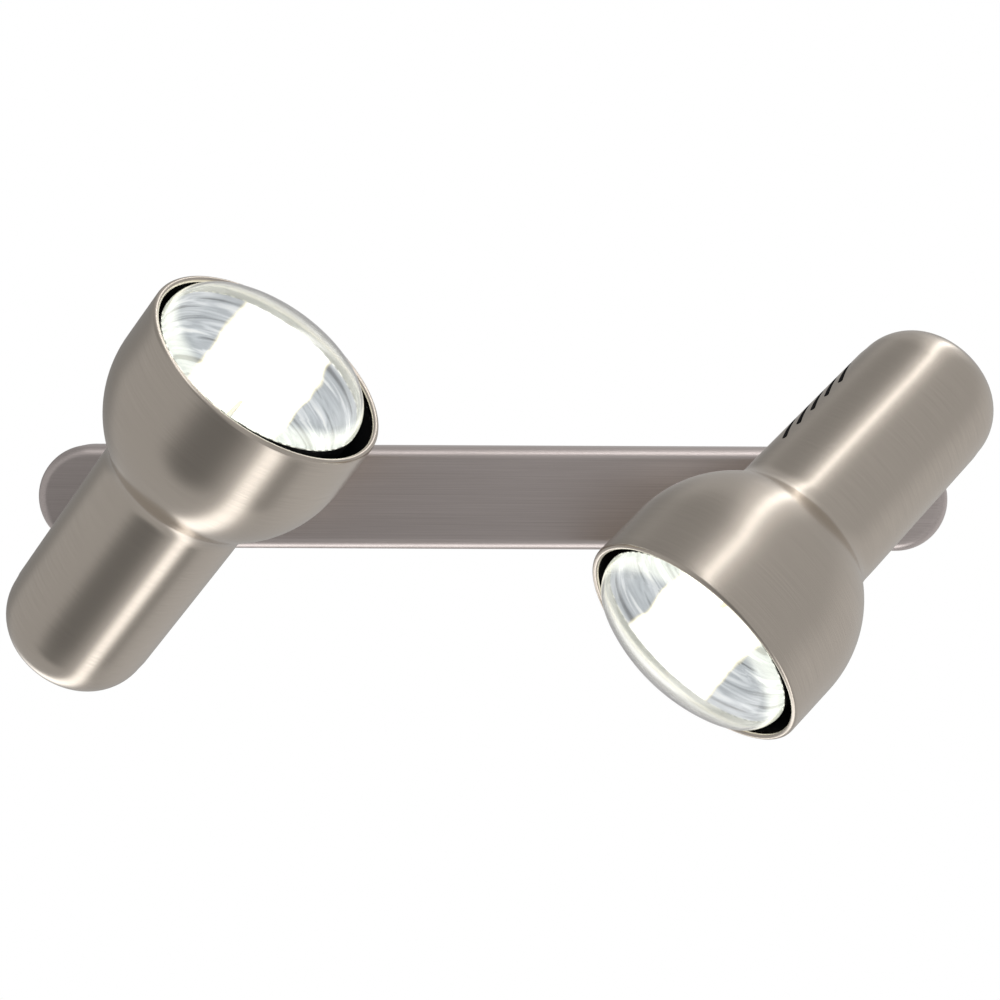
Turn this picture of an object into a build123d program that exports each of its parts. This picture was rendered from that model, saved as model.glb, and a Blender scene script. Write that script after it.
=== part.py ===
"""Two-head pivoting spotlight wall light: a pressed bar on a wall strap, with two spun spot heads.

Frame: the wall is the plane Y = 0, the light stands off it towards -Y, +X runs along the bar to
the right and +Z is up.  The origin is the middle of the wall strap's back face.
"""
import os
from math import asin, cos, degrees, radians, sin, sqrt

from build123d import *

# ---------------------------------------------------------------- driving dimensions (mm, degrees)
# Bar: a pressed tray with round ends
BAR_LENGTH = 350.0
BAR_HEIGHT = 39.5
BAR_DEPTH = 22.0
BAR_WALL = 1.0
BAR_EDGE_RADIUS = 4.5

# Wall strap inside the bar, with two turned-up tabs for the side screws
STRAP_LENGTH = 204.0
STRAP_WIDTH = 26.0
STRAP_THICKNESS = 1.5
STRAP_CORNER = 4.0
WALL_SLOT_SPACING = 120.0
WALL_SLOT_WIDTH = 4.5
WALL_SLOT_LENGTH = 14.0
CABLE_HOLE_X = 36.0
CABLE_HOLE_RADIUS = 7.0
GROMMET_BORE = 4.0
GROMMET_FLANGE_RADIUS = 9.5
GROMMET_FLANGE = 2.0
EARTH_X = -36.0
EARTH_SCREW_RADIUS = 2.0
EARTH_HEAD_RADIUS = 4.0
EARTH_HEAD = 2.4
TAB_X = 92.0
TAB_WIDTH = 14.0
TAB_REACH = 13.0
SIDE_SCREW_HEIGHT = 9.0
SIDE_SCREW_RADIUS = 2.0
SIDE_SCREW_HEAD_RADIUS = 3.5
SIDE_SCREW_HEAD = 2.2
SIDE_SCREW_TAIL = 3.0

# Terminal block on the strap
BLOCK_LENGTH = 28.0
BLOCK_WIDTH = 18.0
BLOCK_DEPTH = 12.0
BLOCK_CORNER = 1.5
BLOCK_PITCH = 8.0
BARREL_RADIUS = 2.5
BARREL_BORE = 1.6
BARREL_HEIGHT = 5.0
TERMINAL_SCREW_RADIUS = 1.5
TERMINAL_SCREW_X = 5.0
BLOCK_SCREW_RADIUS = 1.4
BLOCK_SCREW_HEAD_RADIUS = 1.9
BLOCK_SCREW_HEAD = 1.5
BLOCK_SCREW_SINK = 3.0

# Swivel: threaded nipple through the bar, and a drum with two ears that turns on it
SWIVEL_SPACING = 235.0
NIPPLE_RADIUS = 5.0
NIPPLE_BORE = 3.3
NIPPLE_TAIL = 9.0
NIPPLE_HEAD_RADIUS = 7.0
NIPPLE_HEAD = 1.8
LOCKNUT_FLATS = 14.0
LOCKNUT_THICKNESS = 3.0
TOOTH_COUNT = 8
TOOTH_WASHER_RADIUS = 8.0
TOOTH_WASHER_THICKNESS = 0.8
FRICTION_WASHER_RADIUS = 10.0
FRICTION_WASHER_THICKNESS = 1.0
SPRING_WASHER_THICKNESS = 0.6
DRUM_RADIUS = 12.0
DRUM_BORE = 9.0
DRUM_FLOOR = 2.5
DRUM_TOP = 14.0
DRUM_ROOF = 3.0
DRUM_EDGE = 1.2
PIVOT_HEIGHT = 24.0
EAR_RADIUS = 7.5
EAR_THICKNESS = 2.7
EAR_GAP = 12.6
STOP_LUG_ARC = 12.0
STOP_RIB_ARC = 16.0
LEFT_STOP = 45.0
RIGHT_STOP = 225.0

# Tilt hinge
TILT_SCREW_RADIUS = 2.5
TILT_HEAD_RADIUS = 4.5
TILT_HEAD = 2.8
TILT_SLOT_WIDTH = 1.0
TILT_NUT_FLATS = 8.0
TILT_NUT = 4.0
TONGUE_THICKNESS = 5.0
TONGUE_RADIUS = 7.5
BUSH_RADIUS = 3.5

# Head shell: tube with a domed back, spherical shoulder, short barrel and rolled rim
SHELL_LENGTH = 154.0
BACK_RADIUS = 27.9
NECK_RADIUS = 29.2
NECK_STATION = 90.0
BACK_CORNER = 20.9
NECK_FILLET = 12.0
SHOULDER_STATION = 131.4
SHOULDER_RADIUS = 47.6
MOUTH_RADIUS = 46.0
SHELL_WALL = 1.0
RIM_BEAD = 1.3

# Slanted ventilation slots on the upper side of each tube
VENT_COUNT = 5
VENT_PITCH = 8.0
VENT_STATION = 36.0
VENT_TURN = 94.6
VENT_WIDTH = 2.0
VENT_LENGTH = 20.0
VENT_SLANT = 54.7

# How each head hangs on its hinge, and how it points at rest
AXIS_OFFSET = 45.0
LUG_STATION = 60.7
LEFT_PAN = 51.75
LEFT_TILT = 26.0
RIGHT_PAN = 224.2
RIGHT_TILT = 24.7

# Cast lug under the tube
LUG_LENGTH = 26.0
LUG_WIDTH = 16.0
LUG_THICKNESS = 4.0
LUG_CORNER = 5.0
LUG_SCREW_OFFSET = 9.0
LUG_SCREW_RADIUS = 1.75
LUG_SCREW_HEAD_RADIUS = 3.0
LUG_SCREW_HEAD = 1.8
LUG_SCREW_DEPTH = 3.0

# Lampholder and the bracket that carries it
HOLDER_TIP_SPACE = 4.3
HOLDER_FLOOR_THICKNESS = 13.0
HOLDER_SLEEVE = 30.0
HOLDER_RADIUS = 20.0
HOLDER_MOUTH_RADIUS = 18.0
HOLDER_EDGE = 1.5
BRACKET_THICKNESS = 1.2
BRACKET_ARC = 34.0
BRACKET_WIDTH = 15.0
BRACKET_FOLD = 2.0
HOLDER_SCREW_OFFSET = 11.0
HOLDER_SCREW_RADIUS = 1.5
HOLDER_SCREW_HEAD_RADIUS = 2.8
HOLDER_SCREW_HEAD = 1.6
HOLDER_SCREW_DEPTH = 7.0
CONTACT_WALL = 0.4
CONTACT_RADIUS = 13.9
CONTACT_FLANGE = 9.0
CONTACT_LENGTH = 26.0
LEAF_THICKNESS = 0.5
LEAF_WIDTH = 5.0
LEAF_REACH = 6.0
TERMINAL_SETBACK = 6.5
TERMINAL_DEPTH = 5.0

# Reflector lamp, 80 mm across, measured from the tip of its cap
LAMP_APEX = 169.3
LAMP_LENGTH = 115.0
LAMP_RADIUS = 40.0
LAMP_GLASS = 1.0
LAMP_FACE_RADIUS = 72.0
LAMP_EDGE_RADIUS = 10.0
LAMP_NECK_RADIUS = 16.0
LAMP_NECK_START = 36.0
LAMP_NECK_END = 46.0
LAMP_THROAT_RADIUS = 12.5
LAMP_THROAT_START = 20.0
LAMP_CAP_RADIUS = 13.2
LAMP_CAP_START = 6.0
LAMP_CAP_END = 27.0
LAMP_CAP_FLARE = 3.0
LAMP_CAP_END_RADIUS = 14.0
LAMP_CAP_WALL = 0.4
LAMP_INSULATOR_RADIUS = 11.2
LAMP_TIP_RADIUS = 4.5
LAMP_TIP = 1.6
LAMP_STEM_RADIUS = 9.0
LAMP_STEM_TOP_RADIUS = 3.0
LAMP_STEM_TOP = 60.0
FILAMENT_STATION = 76.0
FILAMENT_HALF = 11.0
FILAMENT_RADIUS = 0.6
FILAMENT_RISE = 2.5
SUPPORT_RADIUS = 0.4
LEFT_LEAN = -1.0
RIGHT_LEAN = 0.4

# Leads and clearances
LEAD_RADIUS = 1.1
LEAD_SPREAD = 1.4
LEAD_BEND = 5.0
LEAD_TIGHT_BEND = 1.5
LEAD_DEPTH = 9.0
LEAD_PORT_X = 3.5
LEAD_PORT_Y = 4.5
LEAD_PORT_RADIUS = 1.5
LEAD_BREAK = 2.8
LEAD_INSET = 4.5
RUNNING = 0.05
SEAT = 0.02
GAP = 0.3

# ---------------------------------------------------------------- sizes that follow from these
BAR_INNER_HALF = BAR_HEIGHT / 2 - BAR_WALL
TAB_EDGE = BAR_INNER_HALF - RUNNING
DRUM_START = FRICTION_WASHER_THICKNESS + GAP
SPRING_WASHER_START = DRUM_START + DRUM_FLOOR + GAP
NIPPLE_HEAD_START = SPRING_WASHER_START + SPRING_WASHER_THICKNESS + SEAT
NIPPLE_END = NIPPLE_HEAD_START + NIPPLE_HEAD
STOP_RADIUS = (NIPPLE_HEAD_RADIUS + DRUM_BORE) / 2
EAR_OUTSIDE = EAR_GAP / 2 + EAR_THICKNESS
TUBE_SLOPE = (NECK_RADIUS - BACK_RADIUS) / NECK_STATION
LEAD_PASS_X = BUSH_RADIUS + LEAD_RADIUS + 2 * GAP
HOLDER_BORE = CONTACT_RADIUS + 2 * RUNNING
LAMP_TIP_STATION = LAMP_APEX - LAMP_LENGTH
HOLDER_FLOOR = LAMP_TIP_STATION - HOLDER_TIP_SPACE
HOLDER_BASE = HOLDER_FLOOR - HOLDER_FLOOR_THICKNESS
HOLDER_TOP = HOLDER_FLOOR + HOLDER_SLEEVE
TERMINAL_STATION = HOLDER_BASE + TERMINAL_SETBACK
LAMP_WIDEST = LAMP_LENGTH - LAMP_FACE_RADIUS + sqrt(
    (LAMP_FACE_RADIUS - LAMP_EDGE_RADIUS) ** 2 - (LAMP_RADIUS - LAMP_EDGE_RADIUS) ** 2
)


# ---------------------------------------------------------------- planes of the moving pieces
def swivel_plane(side, pan):
    """On the bar's front face: x along the head's heading, z away from the wall."""
    heading = Vector(cos(radians(pan)), 0, sin(radians(pan)))
    return Plane(origin=(side * SWIVEL_SPACING / 2, -BAR_DEPTH, 0), x_dir=heading, z_dir=(0, -1, 0))


def hinge_plane(swivel, tilt):
    """At the tilt pin: x along the head, z from the pin to the head's axis."""
    along = swivel.x_dir * cos(radians(tilt)) + swivel.z_dir * sin(radians(tilt))
    return Plane(origin=swivel.offset(PIVOT_HEIGHT).origin, x_dir=along, z_dir=along.cross(swivel.y_dir))


def head_plane(hinge):
    """At the back end of the head: z along its axis, x away from the wall."""
    back = hinge.from_local_coords((-LUG_STATION, 0, AXIS_OFFSET))
    return Plane(origin=back, x_dir=hinge.z_dir, z_dir=hinge.x_dir)


def lamp_plane(head, lean):
    """At the tip of the lamp's cap, leaning towards the head's y about the middle of the cap."""
    pivot = (LAMP_CAP_START + LAMP_CAP_END) / 2
    middle = head.offset(LAMP_TIP_STATION + pivot).origin
    along = head.z_dir * cos(radians(lean)) + head.y_dir * sin(radians(lean))
    return Plane(origin=middle, x_dir=head.x_dir, z_dir=along).offset(-pivot)


def meridian(frame, turn=0.0):
    """A plane through a frame's axis: x is the radius at an angle, y runs along the axis."""
    radial = frame.from_local_coords((cos(radians(turn)), sin(radians(turn)), 0)) - frame.origin
    return Plane(origin=frame.origin, x_dir=radial, z_dir=radial.cross(frame.z_dir))


def axis_of(frame):
    return Axis(frame.origin, frame.z_dir)


def wall_side(head, station, radius, y=0.0):
    """A plane facing the wall, at a radius below the head's axis: x along the axis."""
    origin = head.from_local_coords((-radius, y, station))
    return Plane(origin=origin, x_dir=head.z_dir, z_dir=-head.x_dir)


def tube_radius(station):
    """Outer radius of the slightly tapered tube."""
    return BACK_RADIUS + TUBE_SLOPE * station


def save(name, shape):
    shape.label = name
    export_step(shape, f"parts/{name}.step")


def add_ring(frame, inner, outer, start, end):
    """Add a plain ring about a frame's axis to the current part."""
    with BuildSketch(frame.offset(start)) as ring:
        Circle(outer)
        Circle(inner, mode=Mode.SUBTRACT)
    extrude(ring.sketch, amount=end - start)


def add_lead(route, bend):
    """Add one round lead along straight runs joined by tangent arcs to the current part."""
    with BuildLine() as path:
        FilletPolyline(*route, radius=bend)
    with BuildSketch(Plane(origin=path.line @ 0, z_dir=path.line % 0)) as section:
        Circle(LEAD_RADIUS)
    sweep(section.sketch, path=path.line)


def add_screw(seat, head_radius, head_height, radius, length):
    """Add a round-headed screw to the current part: head above its seat, shank below."""
    with BuildSketch(seat) as head_outline:
        Circle(head_radius)
    head = extrude(head_outline.sketch, amount=head_height)
    fillet(head.edges().sort_by(Axis(seat.origin, seat.z_dir))[-1], head_height / 2)
    with BuildSketch(seat) as shank_outline:
        Circle(radius)
    extrude(shank_outline.sketch, amount=-length)


os.makedirs("parts", exist_ok=True)
SWIVELS = {"left": swivel_plane(-1, LEFT_PAN), "right": swivel_plane(1, RIGHT_PAN)}
FRONT = Plane(origin=(0, 0, 0), x_dir=(1, 0, 0), z_dir=(0, -1, 0))
SIDE_SCREW_PLACES = [(-TAB_X, 1), (TAB_X, -1)]
POLES = [-BLOCK_PITCH, 0.0, BLOCK_PITCH]

# ================================================================ bar, fixed to the wall
with BuildPart() as bar_cover:
    with BuildSketch(FRONT):
        SlotOverall(BAR_LENGTH, BAR_HEIGHT)
    extrude(amount=BAR_DEPTH)
    fillet(bar_cover.faces().sort_by(Axis.Y)[0].edges(), BAR_EDGE_RADIUS)
    offset(amount=-BAR_WALL, openings=bar_cover.faces().sort_by(Axis.Y)[-1])
    with BuildSketch(FRONT.offset(BAR_DEPTH)):
        with Locations((-SWIVEL_SPACING / 2, 0), (SWIVEL_SPACING / 2, 0)):
            Circle(NIPPLE_RADIUS + RUNNING)
    extrude(amount=-2 * BAR_WALL, mode=Mode.SUBTRACT)
    for x, side in SIDE_SCREW_PLACES:
        with BuildSketch(Plane((x, -SIDE_SCREW_HEIGHT, side * BAR_HEIGHT / 2), z_dir=(0, 0, side))):
            Circle(SIDE_SCREW_RADIUS + RUNNING)
        extrude(amount=-2 * BAR_WALL, mode=Mode.SUBTRACT)
save("bar_cover", bar_cover.part)

with BuildPart() as wall_strap:
    with BuildSketch(FRONT):
        RectangleRounded(STRAP_LENGTH, STRAP_WIDTH, STRAP_CORNER)
        for x, side in SIDE_SCREW_PLACES:
            with Locations((x, side * TAB_EDGE / 2)):
                Rectangle(TAB_WIDTH, TAB_EDGE)
        with Locations((-WALL_SLOT_SPACING / 2, 0), (WALL_SLOT_SPACING / 2, 0)):
            SlotOverall(WALL_SLOT_LENGTH, WALL_SLOT_WIDTH, mode=Mode.SUBTRACT)
        with Locations((CABLE_HOLE_X, 0)):
            Circle(CABLE_HOLE_RADIUS, mode=Mode.SUBTRACT)
        with Locations((EARTH_X, 0)):
            Circle(EARTH_SCREW_RADIUS + RUNNING, mode=Mode.SUBTRACT)
        with Locations((0, -BLOCK_PITCH / 2), (0, BLOCK_PITCH / 2)):
            Circle(BLOCK_SCREW_RADIUS + RUNNING, mode=Mode.SUBTRACT)
    extrude(amount=STRAP_THICKNESS)
    for x, side in SIDE_SCREW_PLACES:
        with BuildSketch(FRONT.offset(STRAP_THICKNESS)):
            with Locations((x, side * (TAB_EDGE - STRAP_THICKNESS / 2))):
                Rectangle(TAB_WIDTH, STRAP_THICKNESS)
        extrude(amount=TAB_REACH)
        with BuildSketch(Plane((x, -SIDE_SCREW_HEIGHT, side * TAB_EDGE), z_dir=(0, 0, side))):
            Circle(SIDE_SCREW_RADIUS + RUNNING)
        extrude(amount=-2 * STRAP_THICKNESS, mode=Mode.SUBTRACT)
save("wall_strap", wall_strap.part)

with BuildPart() as side_screws:
    for x, side in SIDE_SCREW_PLACES:
        seat = Plane((x, -SIDE_SCREW_HEIGHT, side * (BAR_HEIGHT / 2 + SEAT)), z_dir=(0, 0, side))
        shank = BAR_WALL + STRAP_THICKNESS + SIDE_SCREW_TAIL
        add_screw(seat, SIDE_SCREW_HEAD_RADIUS, SIDE_SCREW_HEAD, SIDE_SCREW_RADIUS, shank)
save("side_screws", side_screws.part)

with BuildPart() as cable_grommet:
    middle = Plane(origin=(CABLE_HOLE_X, 0, 0), x_dir=(1, 0, 0), z_dir=(0, -1, 0))
    add_ring(middle, GROMMET_BORE, CABLE_HOLE_RADIUS - SEAT, 0, STRAP_THICKNESS + SEAT)
    flange_end = STRAP_THICKNESS + GROMMET_FLANGE
    add_ring(middle, GROMMET_BORE, GROMMET_FLANGE_RADIUS, STRAP_THICKNESS + SEAT, flange_end)
    fillet(cable_grommet.edges().group_by(Axis.Y)[0], GROMMET_FLANGE / 3)
save("cable_grommet", cable_grommet.part)

with BuildPart() as earth_screw:
    seat = Plane(origin=(EARTH_X, -STRAP_THICKNESS - SEAT, 0), z_dir=(0, -1, 0))
    add_screw(seat, EARTH_HEAD_RADIUS, EARTH_HEAD, EARTH_SCREW_RADIUS, STRAP_THICKNESS)
save("earth_screw", earth_screw.part)

BLOCK_TOP = FRONT.offset(STRAP_THICKNESS + BLOCK_DEPTH)
with BuildPart() as terminal_block:
    with BuildSketch(FRONT.offset(STRAP_THICKNESS)):
        RectangleRounded(BLOCK_WIDTH, BLOCK_LENGTH, BLOCK_CORNER)
    extrude(amount=BLOCK_DEPTH)
    with BuildSketch(BLOCK_TOP):
        with Locations([(0, z) for z in (-BLOCK_PITCH / 2, BLOCK_PITCH / 2)]):
            Rectangle(BLOCK_WIDTH, 2 * BLOCK_SCREW_HEAD_RADIUS + 2 * GAP)
    extrude(amount=-BLOCK_SCREW_SINK, mode=Mode.SUBTRACT)
    with BuildSketch(Plane.YZ):
        with Locations([(-STRAP_THICKNESS - BARREL_HEIGHT, z) for z in POLES]):
            Circle(BARREL_RADIUS + SEAT)
    extrude(amount=BLOCK_WIDTH, both=True, mode=Mode.SUBTRACT)
    with BuildSketch(BLOCK_TOP):
        with Locations([(x, z) for x in (-TERMINAL_SCREW_X, TERMINAL_SCREW_X) for z in POLES]):
            Circle(TERMINAL_SCREW_RADIUS + GAP)
    extrude(amount=BARREL_HEIGHT - BLOCK_DEPTH, mode=Mode.SUBTRACT)
    with BuildSketch(BLOCK_TOP):
        with Locations((0, -BLOCK_PITCH / 2), (0, BLOCK_PITCH / 2)):
            Circle(BLOCK_SCREW_RADIUS + RUNNING)
    extrude(amount=-BLOCK_DEPTH, mode=Mode.SUBTRACT)
save("terminal_block", terminal_block.part)

with BuildPart() as terminal_barrels:
    with BuildSketch(Plane.YZ):
        with Locations([(-STRAP_THICKNESS - BARREL_HEIGHT, z) for z in POLES]):
            Circle(BARREL_RADIUS)
            Circle(BARREL_BORE, mode=Mode.SUBTRACT)
    extrude(amount=BLOCK_WIDTH / 2 - 2 * RUNNING, both=True)
    with BuildSketch(BLOCK_TOP):
        with Locations([(x, z) for x in (-TERMINAL_SCREW_X, TERMINAL_SCREW_X) for z in POLES]):
            Circle(TERMINAL_SCREW_RADIUS + SEAT)
    extrude(amount=BARREL_HEIGHT - BLOCK_DEPTH, mode=Mode.SUBTRACT)
save("terminal_barrels", terminal_barrels.part)

with BuildPart() as terminal_screws:
    with BuildSketch(BLOCK_TOP.offset(-BLOCK_SCREW_SINK)):
        with Locations([(x, z) for x in (-TERMINAL_SCREW_X, TERMINAL_SCREW_X) for z in POLES]):
            Circle(TERMINAL_SCREW_RADIUS)
    extrude(amount=BARREL_HEIGHT + BARREL_BORE - BLOCK_DEPTH + BLOCK_SCREW_SINK)
    with BuildSketch(BLOCK_TOP.offset(-BLOCK_SCREW_SINK)):
        with Locations([(x, z) for x in (-TERMINAL_SCREW_X, TERMINAL_SCREW_X) for z in POLES]):
            Rectangle(2 * TERMINAL_SCREW_RADIUS, TERMINAL_SCREW_RADIUS / 3)
    extrude(amount=-TERMINAL_SCREW_RADIUS / 2, mode=Mode.SUBTRACT)
save("terminal_screws", terminal_screws.part)

with BuildPart() as block_screws:
    for z in (-BLOCK_PITCH / 2, BLOCK_PITCH / 2):
        depth = STRAP_THICKNESS + BLOCK_DEPTH - BLOCK_SCREW_SINK
        seat = Plane(origin=(0, -depth - SEAT, z), z_dir=(0, -1, 0))
        add_screw(seat, BLOCK_SCREW_HEAD_RADIUS, BLOCK_SCREW_HEAD, BLOCK_SCREW_RADIUS, depth)
save("block_screws", block_screws.part)

# ================================================================ swivel pieces fixed in the bar
with BuildPart() as swivel_nipples:
    for side, stop in (("left", LEFT_STOP - LEFT_PAN), ("right", RIGHT_STOP - RIGHT_PAN)):
        swivel = SWIVELS[side]
        add_ring(swivel, NIPPLE_BORE, NIPPLE_RADIUS, -NIPPLE_TAIL, NIPPLE_END)
        add_ring(swivel, NIPPLE_BORE, NIPPLE_HEAD_RADIUS, NIPPLE_HEAD_START, NIPPLE_END)
        with BuildSketch(meridian(swivel, stop - STOP_LUG_ARC / 2)):
            with Locations(((NIPPLE_BORE + STOP_RADIUS) / 2 + 1, NIPPLE_HEAD_START + NIPPLE_HEAD / 2)):
                Rectangle(STOP_RADIUS - NIPPLE_BORE - 2, NIPPLE_HEAD)
        revolve(axis=axis_of(swivel), revolution_arc=STOP_LUG_ARC)
save("swivel_nipples", swivel_nipples.part)

with BuildPart() as locknuts:
    for swivel in SWIVELS.values():
        nut_start = -BAR_WALL - TOOTH_WASHER_THICKNESS - 2 * SEAT
        with BuildSketch(swivel.offset(nut_start)):
            RegularPolygon(LOCKNUT_FLATS / 2, 6, major_radius=False)
            Circle(NIPPLE_RADIUS + SEAT, mode=Mode.SUBTRACT)
        extrude(amount=-LOCKNUT_THICKNESS)
save("locknuts", locknuts.part)

with BuildPart() as tooth_washers:
    for swivel in SWIVELS.values():
        with BuildSketch(swivel.offset(-BAR_WALL - SEAT)):
            Circle(TOOTH_WASHER_RADIUS)
            with PolarLocations(TOOTH_WASHER_RADIUS, TOOTH_COUNT):
                Rectangle(TOOTH_WASHER_RADIUS / 2, TOOTH_WASHER_RADIUS / 4, mode=Mode.SUBTRACT)
            Circle(NIPPLE_RADIUS + RUNNING, mode=Mode.SUBTRACT)
        extrude(amount=-TOOTH_WASHER_THICKNESS)
save("tooth_washers", tooth_washers.part)

with BuildPart() as friction_washers:
    for swivel in SWIVELS.values():
        add_ring(swivel, NIPPLE_RADIUS + RUNNING, FRICTION_WASHER_RADIUS, SEAT, FRICTION_WASHER_THICKNESS)
save("friction_washers", friction_washers.part)

with BuildPart() as spring_washers:
    for swivel in SWIVELS.values():
        top = SPRING_WASHER_START + SPRING_WASHER_THICKNESS
        add_ring(swivel, NIPPLE_RADIUS + RUNNING, NIPPLE_HEAD_RADIUS, SPRING_WASHER_START, top)
save("spring_washers", spring_washers.part)

for name, side in (("left", -1), ("right", 1)):
    with BuildPart() as canopy_leads:
        for z in (-1, 1):
            start = (side * (BLOCK_WIDTH / 2 + RUNNING), -STRAP_THICKNESS - BARREL_HEIGHT, z * BLOCK_PITCH)
            near = (side * BLOCK_WIDTH, -LEAD_DEPTH, z * BLOCK_PITCH)
            middle = (side * TAB_X, -LEAD_DEPTH, z * BLOCK_PITCH / 2)
            turn = (side * SWIVEL_SPACING / 2, -LEAD_DEPTH, z * LEAD_SPREAD)
            end = (side * SWIVEL_SPACING / 2, -BAR_DEPTH - NIPPLE_END, z * LEAD_SPREAD)
            add_lead([start, near, middle, turn, end], LEAD_BEND)
    save(f"{name}_bar_leads", canopy_leads.part)

# ================================================================ spot heads
HEADS = [
    ("left", LEFT_TILT, LEFT_LEAN, -1),
    ("right", RIGHT_TILT, RIGHT_LEAN, 1),
]
for name, tilt, lean, vent_side in HEADS:
    swivel = SWIVELS[name]
    hinge = hinge_plane(swivel, tilt)
    head = head_plane(hinge)
    lamp = lamp_plane(head, lean)
    inner_wall = tube_radius(LUG_STATION) - SHELL_WALL
    bracket_start = HOLDER_BASE - BRACKET_THICKNESS
    screw_stations = [LUG_STATION - LUG_SCREW_OFFSET, LUG_STATION + LUG_SCREW_OFFSET]
    port_station = LUG_STATION - LEAD_PASS_X

    # -------- swivel drum: turned cup with two ears, turning on the nipple
    with BuildPart() as swivel_drum:
        bore = NIPPLE_RADIUS + RUNNING
        floor_top = DRUM_START + DRUM_FLOOR
        ceiling = DRUM_TOP - DRUM_ROOF
        with BuildSketch(meridian(swivel)) as cup:
            with BuildLine():
                Polyline(
                    (bore, DRUM_START),
                    (DRUM_RADIUS, DRUM_START),
                    (DRUM_RADIUS, DRUM_TOP),
                    (0, DRUM_TOP),
                    (0, ceiling),
                    (DRUM_BORE, ceiling),
                    (DRUM_BORE, floor_top),
                    (bore, floor_top),
                    close=True,
                )
            make_face()
            fillet(cup.vertices().group_by(Axis.X)[-1], DRUM_EDGE)
        revolve(axis=axis_of(swivel))
        with BuildSketch(swivel.offset(ceiling)):
            with Locations((-LEAD_PORT_X, -LEAD_PORT_Y), (-LEAD_PORT_X, LEAD_PORT_Y)):
                Circle(LEAD_PORT_RADIUS)
        extrude(amount=DRUM_ROOF, mode=Mode.SUBTRACT)
        with BuildSketch(meridian(swivel, 180 - STOP_RIB_ARC / 2)):
            rib_inner = NIPPLE_HEAD_RADIUS + GAP
            with Locations(((rib_inner + DRUM_BORE + GAP) / 2, (ceiling + floor_top) / 2)):
                Rectangle(DRUM_BORE + GAP - rib_inner, ceiling - floor_top)
        revolve(axis=axis_of(swivel), revolution_arc=STOP_RIB_ARC)
        for side in (-1, 1):
            ear_foot = swivel.from_local_coords((0, side * EAR_GAP / 2, 0))
            with BuildSketch(Plane(origin=ear_foot, x_dir=swivel.z_dir, z_dir=side * swivel.y_dir)):
                with Locations((PIVOT_HEIGHT, 0)):
                    Circle(EAR_RADIUS)
                with Locations(((PIVOT_HEIGHT + DRUM_TOP - DRUM_EDGE) / 2, 0)):
                    Rectangle(PIVOT_HEIGHT - DRUM_TOP + DRUM_EDGE, 2 * EAR_RADIUS)
                with Locations((PIVOT_HEIGHT, 0)):
                    Circle(TILT_SCREW_RADIUS + RUNNING, mode=Mode.SUBTRACT)
            extrude(amount=EAR_THICKNESS)
    save(f"{name}_swivel_drum", swivel_drum.part)

    # -------- tilt screw, nut and the two bushes that centre the tongue between the ears
    pin = swivel.offset(PIVOT_HEIGHT)
    screw_seat = Plane(
        origin=pin.from_local_coords((0, EAR_OUTSIDE + SEAT, 0)), x_dir=pin.x_dir, z_dir=pin.y_dir
    )
    nut_seat = Plane(
        origin=pin.from_local_coords((0, -EAR_OUTSIDE - SEAT, 0)), x_dir=pin.x_dir, z_dir=-pin.y_dir
    )
    with BuildPart() as tilt_screw:
        shank = 2 * EAR_OUTSIDE + TILT_NUT + 1
        add_screw(screw_seat, TILT_HEAD_RADIUS, TILT_HEAD, TILT_SCREW_RADIUS, shank)
        with BuildSketch(screw_seat.offset(TILT_HEAD)):
            Rectangle(2 * TILT_HEAD_RADIUS, TILT_SLOT_WIDTH)
        extrude(amount=-TILT_HEAD / 2, mode=Mode.SUBTRACT)
    save(f"{name}_tilt_screw", tilt_screw.part)

    with BuildPart() as tilt_nut:
        with BuildSketch(nut_seat):
            RegularPolygon(TILT_NUT_FLATS / 2, 6, major_radius=False)
            Circle(TILT_SCREW_RADIUS + SEAT, mode=Mode.SUBTRACT)
        extrude(amount=TILT_NUT)
    save(f"{name}_tilt_nut", tilt_nut.part)

    with BuildPart() as tilt_bushes:
        for side in (-1, 1):
            start = pin.from_local_coords((0, side * (TONGUE_THICKNESS / 2 + GAP), 0))
            bush = Plane(origin=start, x_dir=pin.x_dir, z_dir=side * pin.y_dir)
            length = (EAR_GAP - TONGUE_THICKNESS) / 2 - GAP - SEAT
            add_ring(bush, TILT_SCREW_RADIUS + RUNNING, BUSH_RADIUS, 0, length)
    save(f"{name}_tilt_bushes", tilt_bushes.part)

    with BuildPart() as swivel_leads:
        for side in (-1, 1):
            route = [
                (0, side * LEAD_SPREAD, NIPPLE_END + GAP),
                (0, side * LEAD_SPREAD, NIPPLE_END + LEAD_RADIUS + 2 * GAP),
                (-LEAD_PORT_X, side * LEAD_PORT_Y, DRUM_TOP - DRUM_ROOF - LEAD_RADIUS),
                (-LEAD_PORT_X, side * LEAD_PORT_Y, DRUM_TOP),
                (-LEAD_PASS_X, side * LEAD_PORT_Y, DRUM_TOP + 2 * LEAD_TIGHT_BEND),
                (-LEAD_PASS_X, side * LEAD_PORT_Y, PIVOT_HEIGHT - LEAD_BREAK),
            ]
            add_lead([swivel.from_local_coords(point) for point in route], LEAD_TIGHT_BEND)
    save(f"{name}_swivel_leads", swivel_leads.part)

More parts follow.
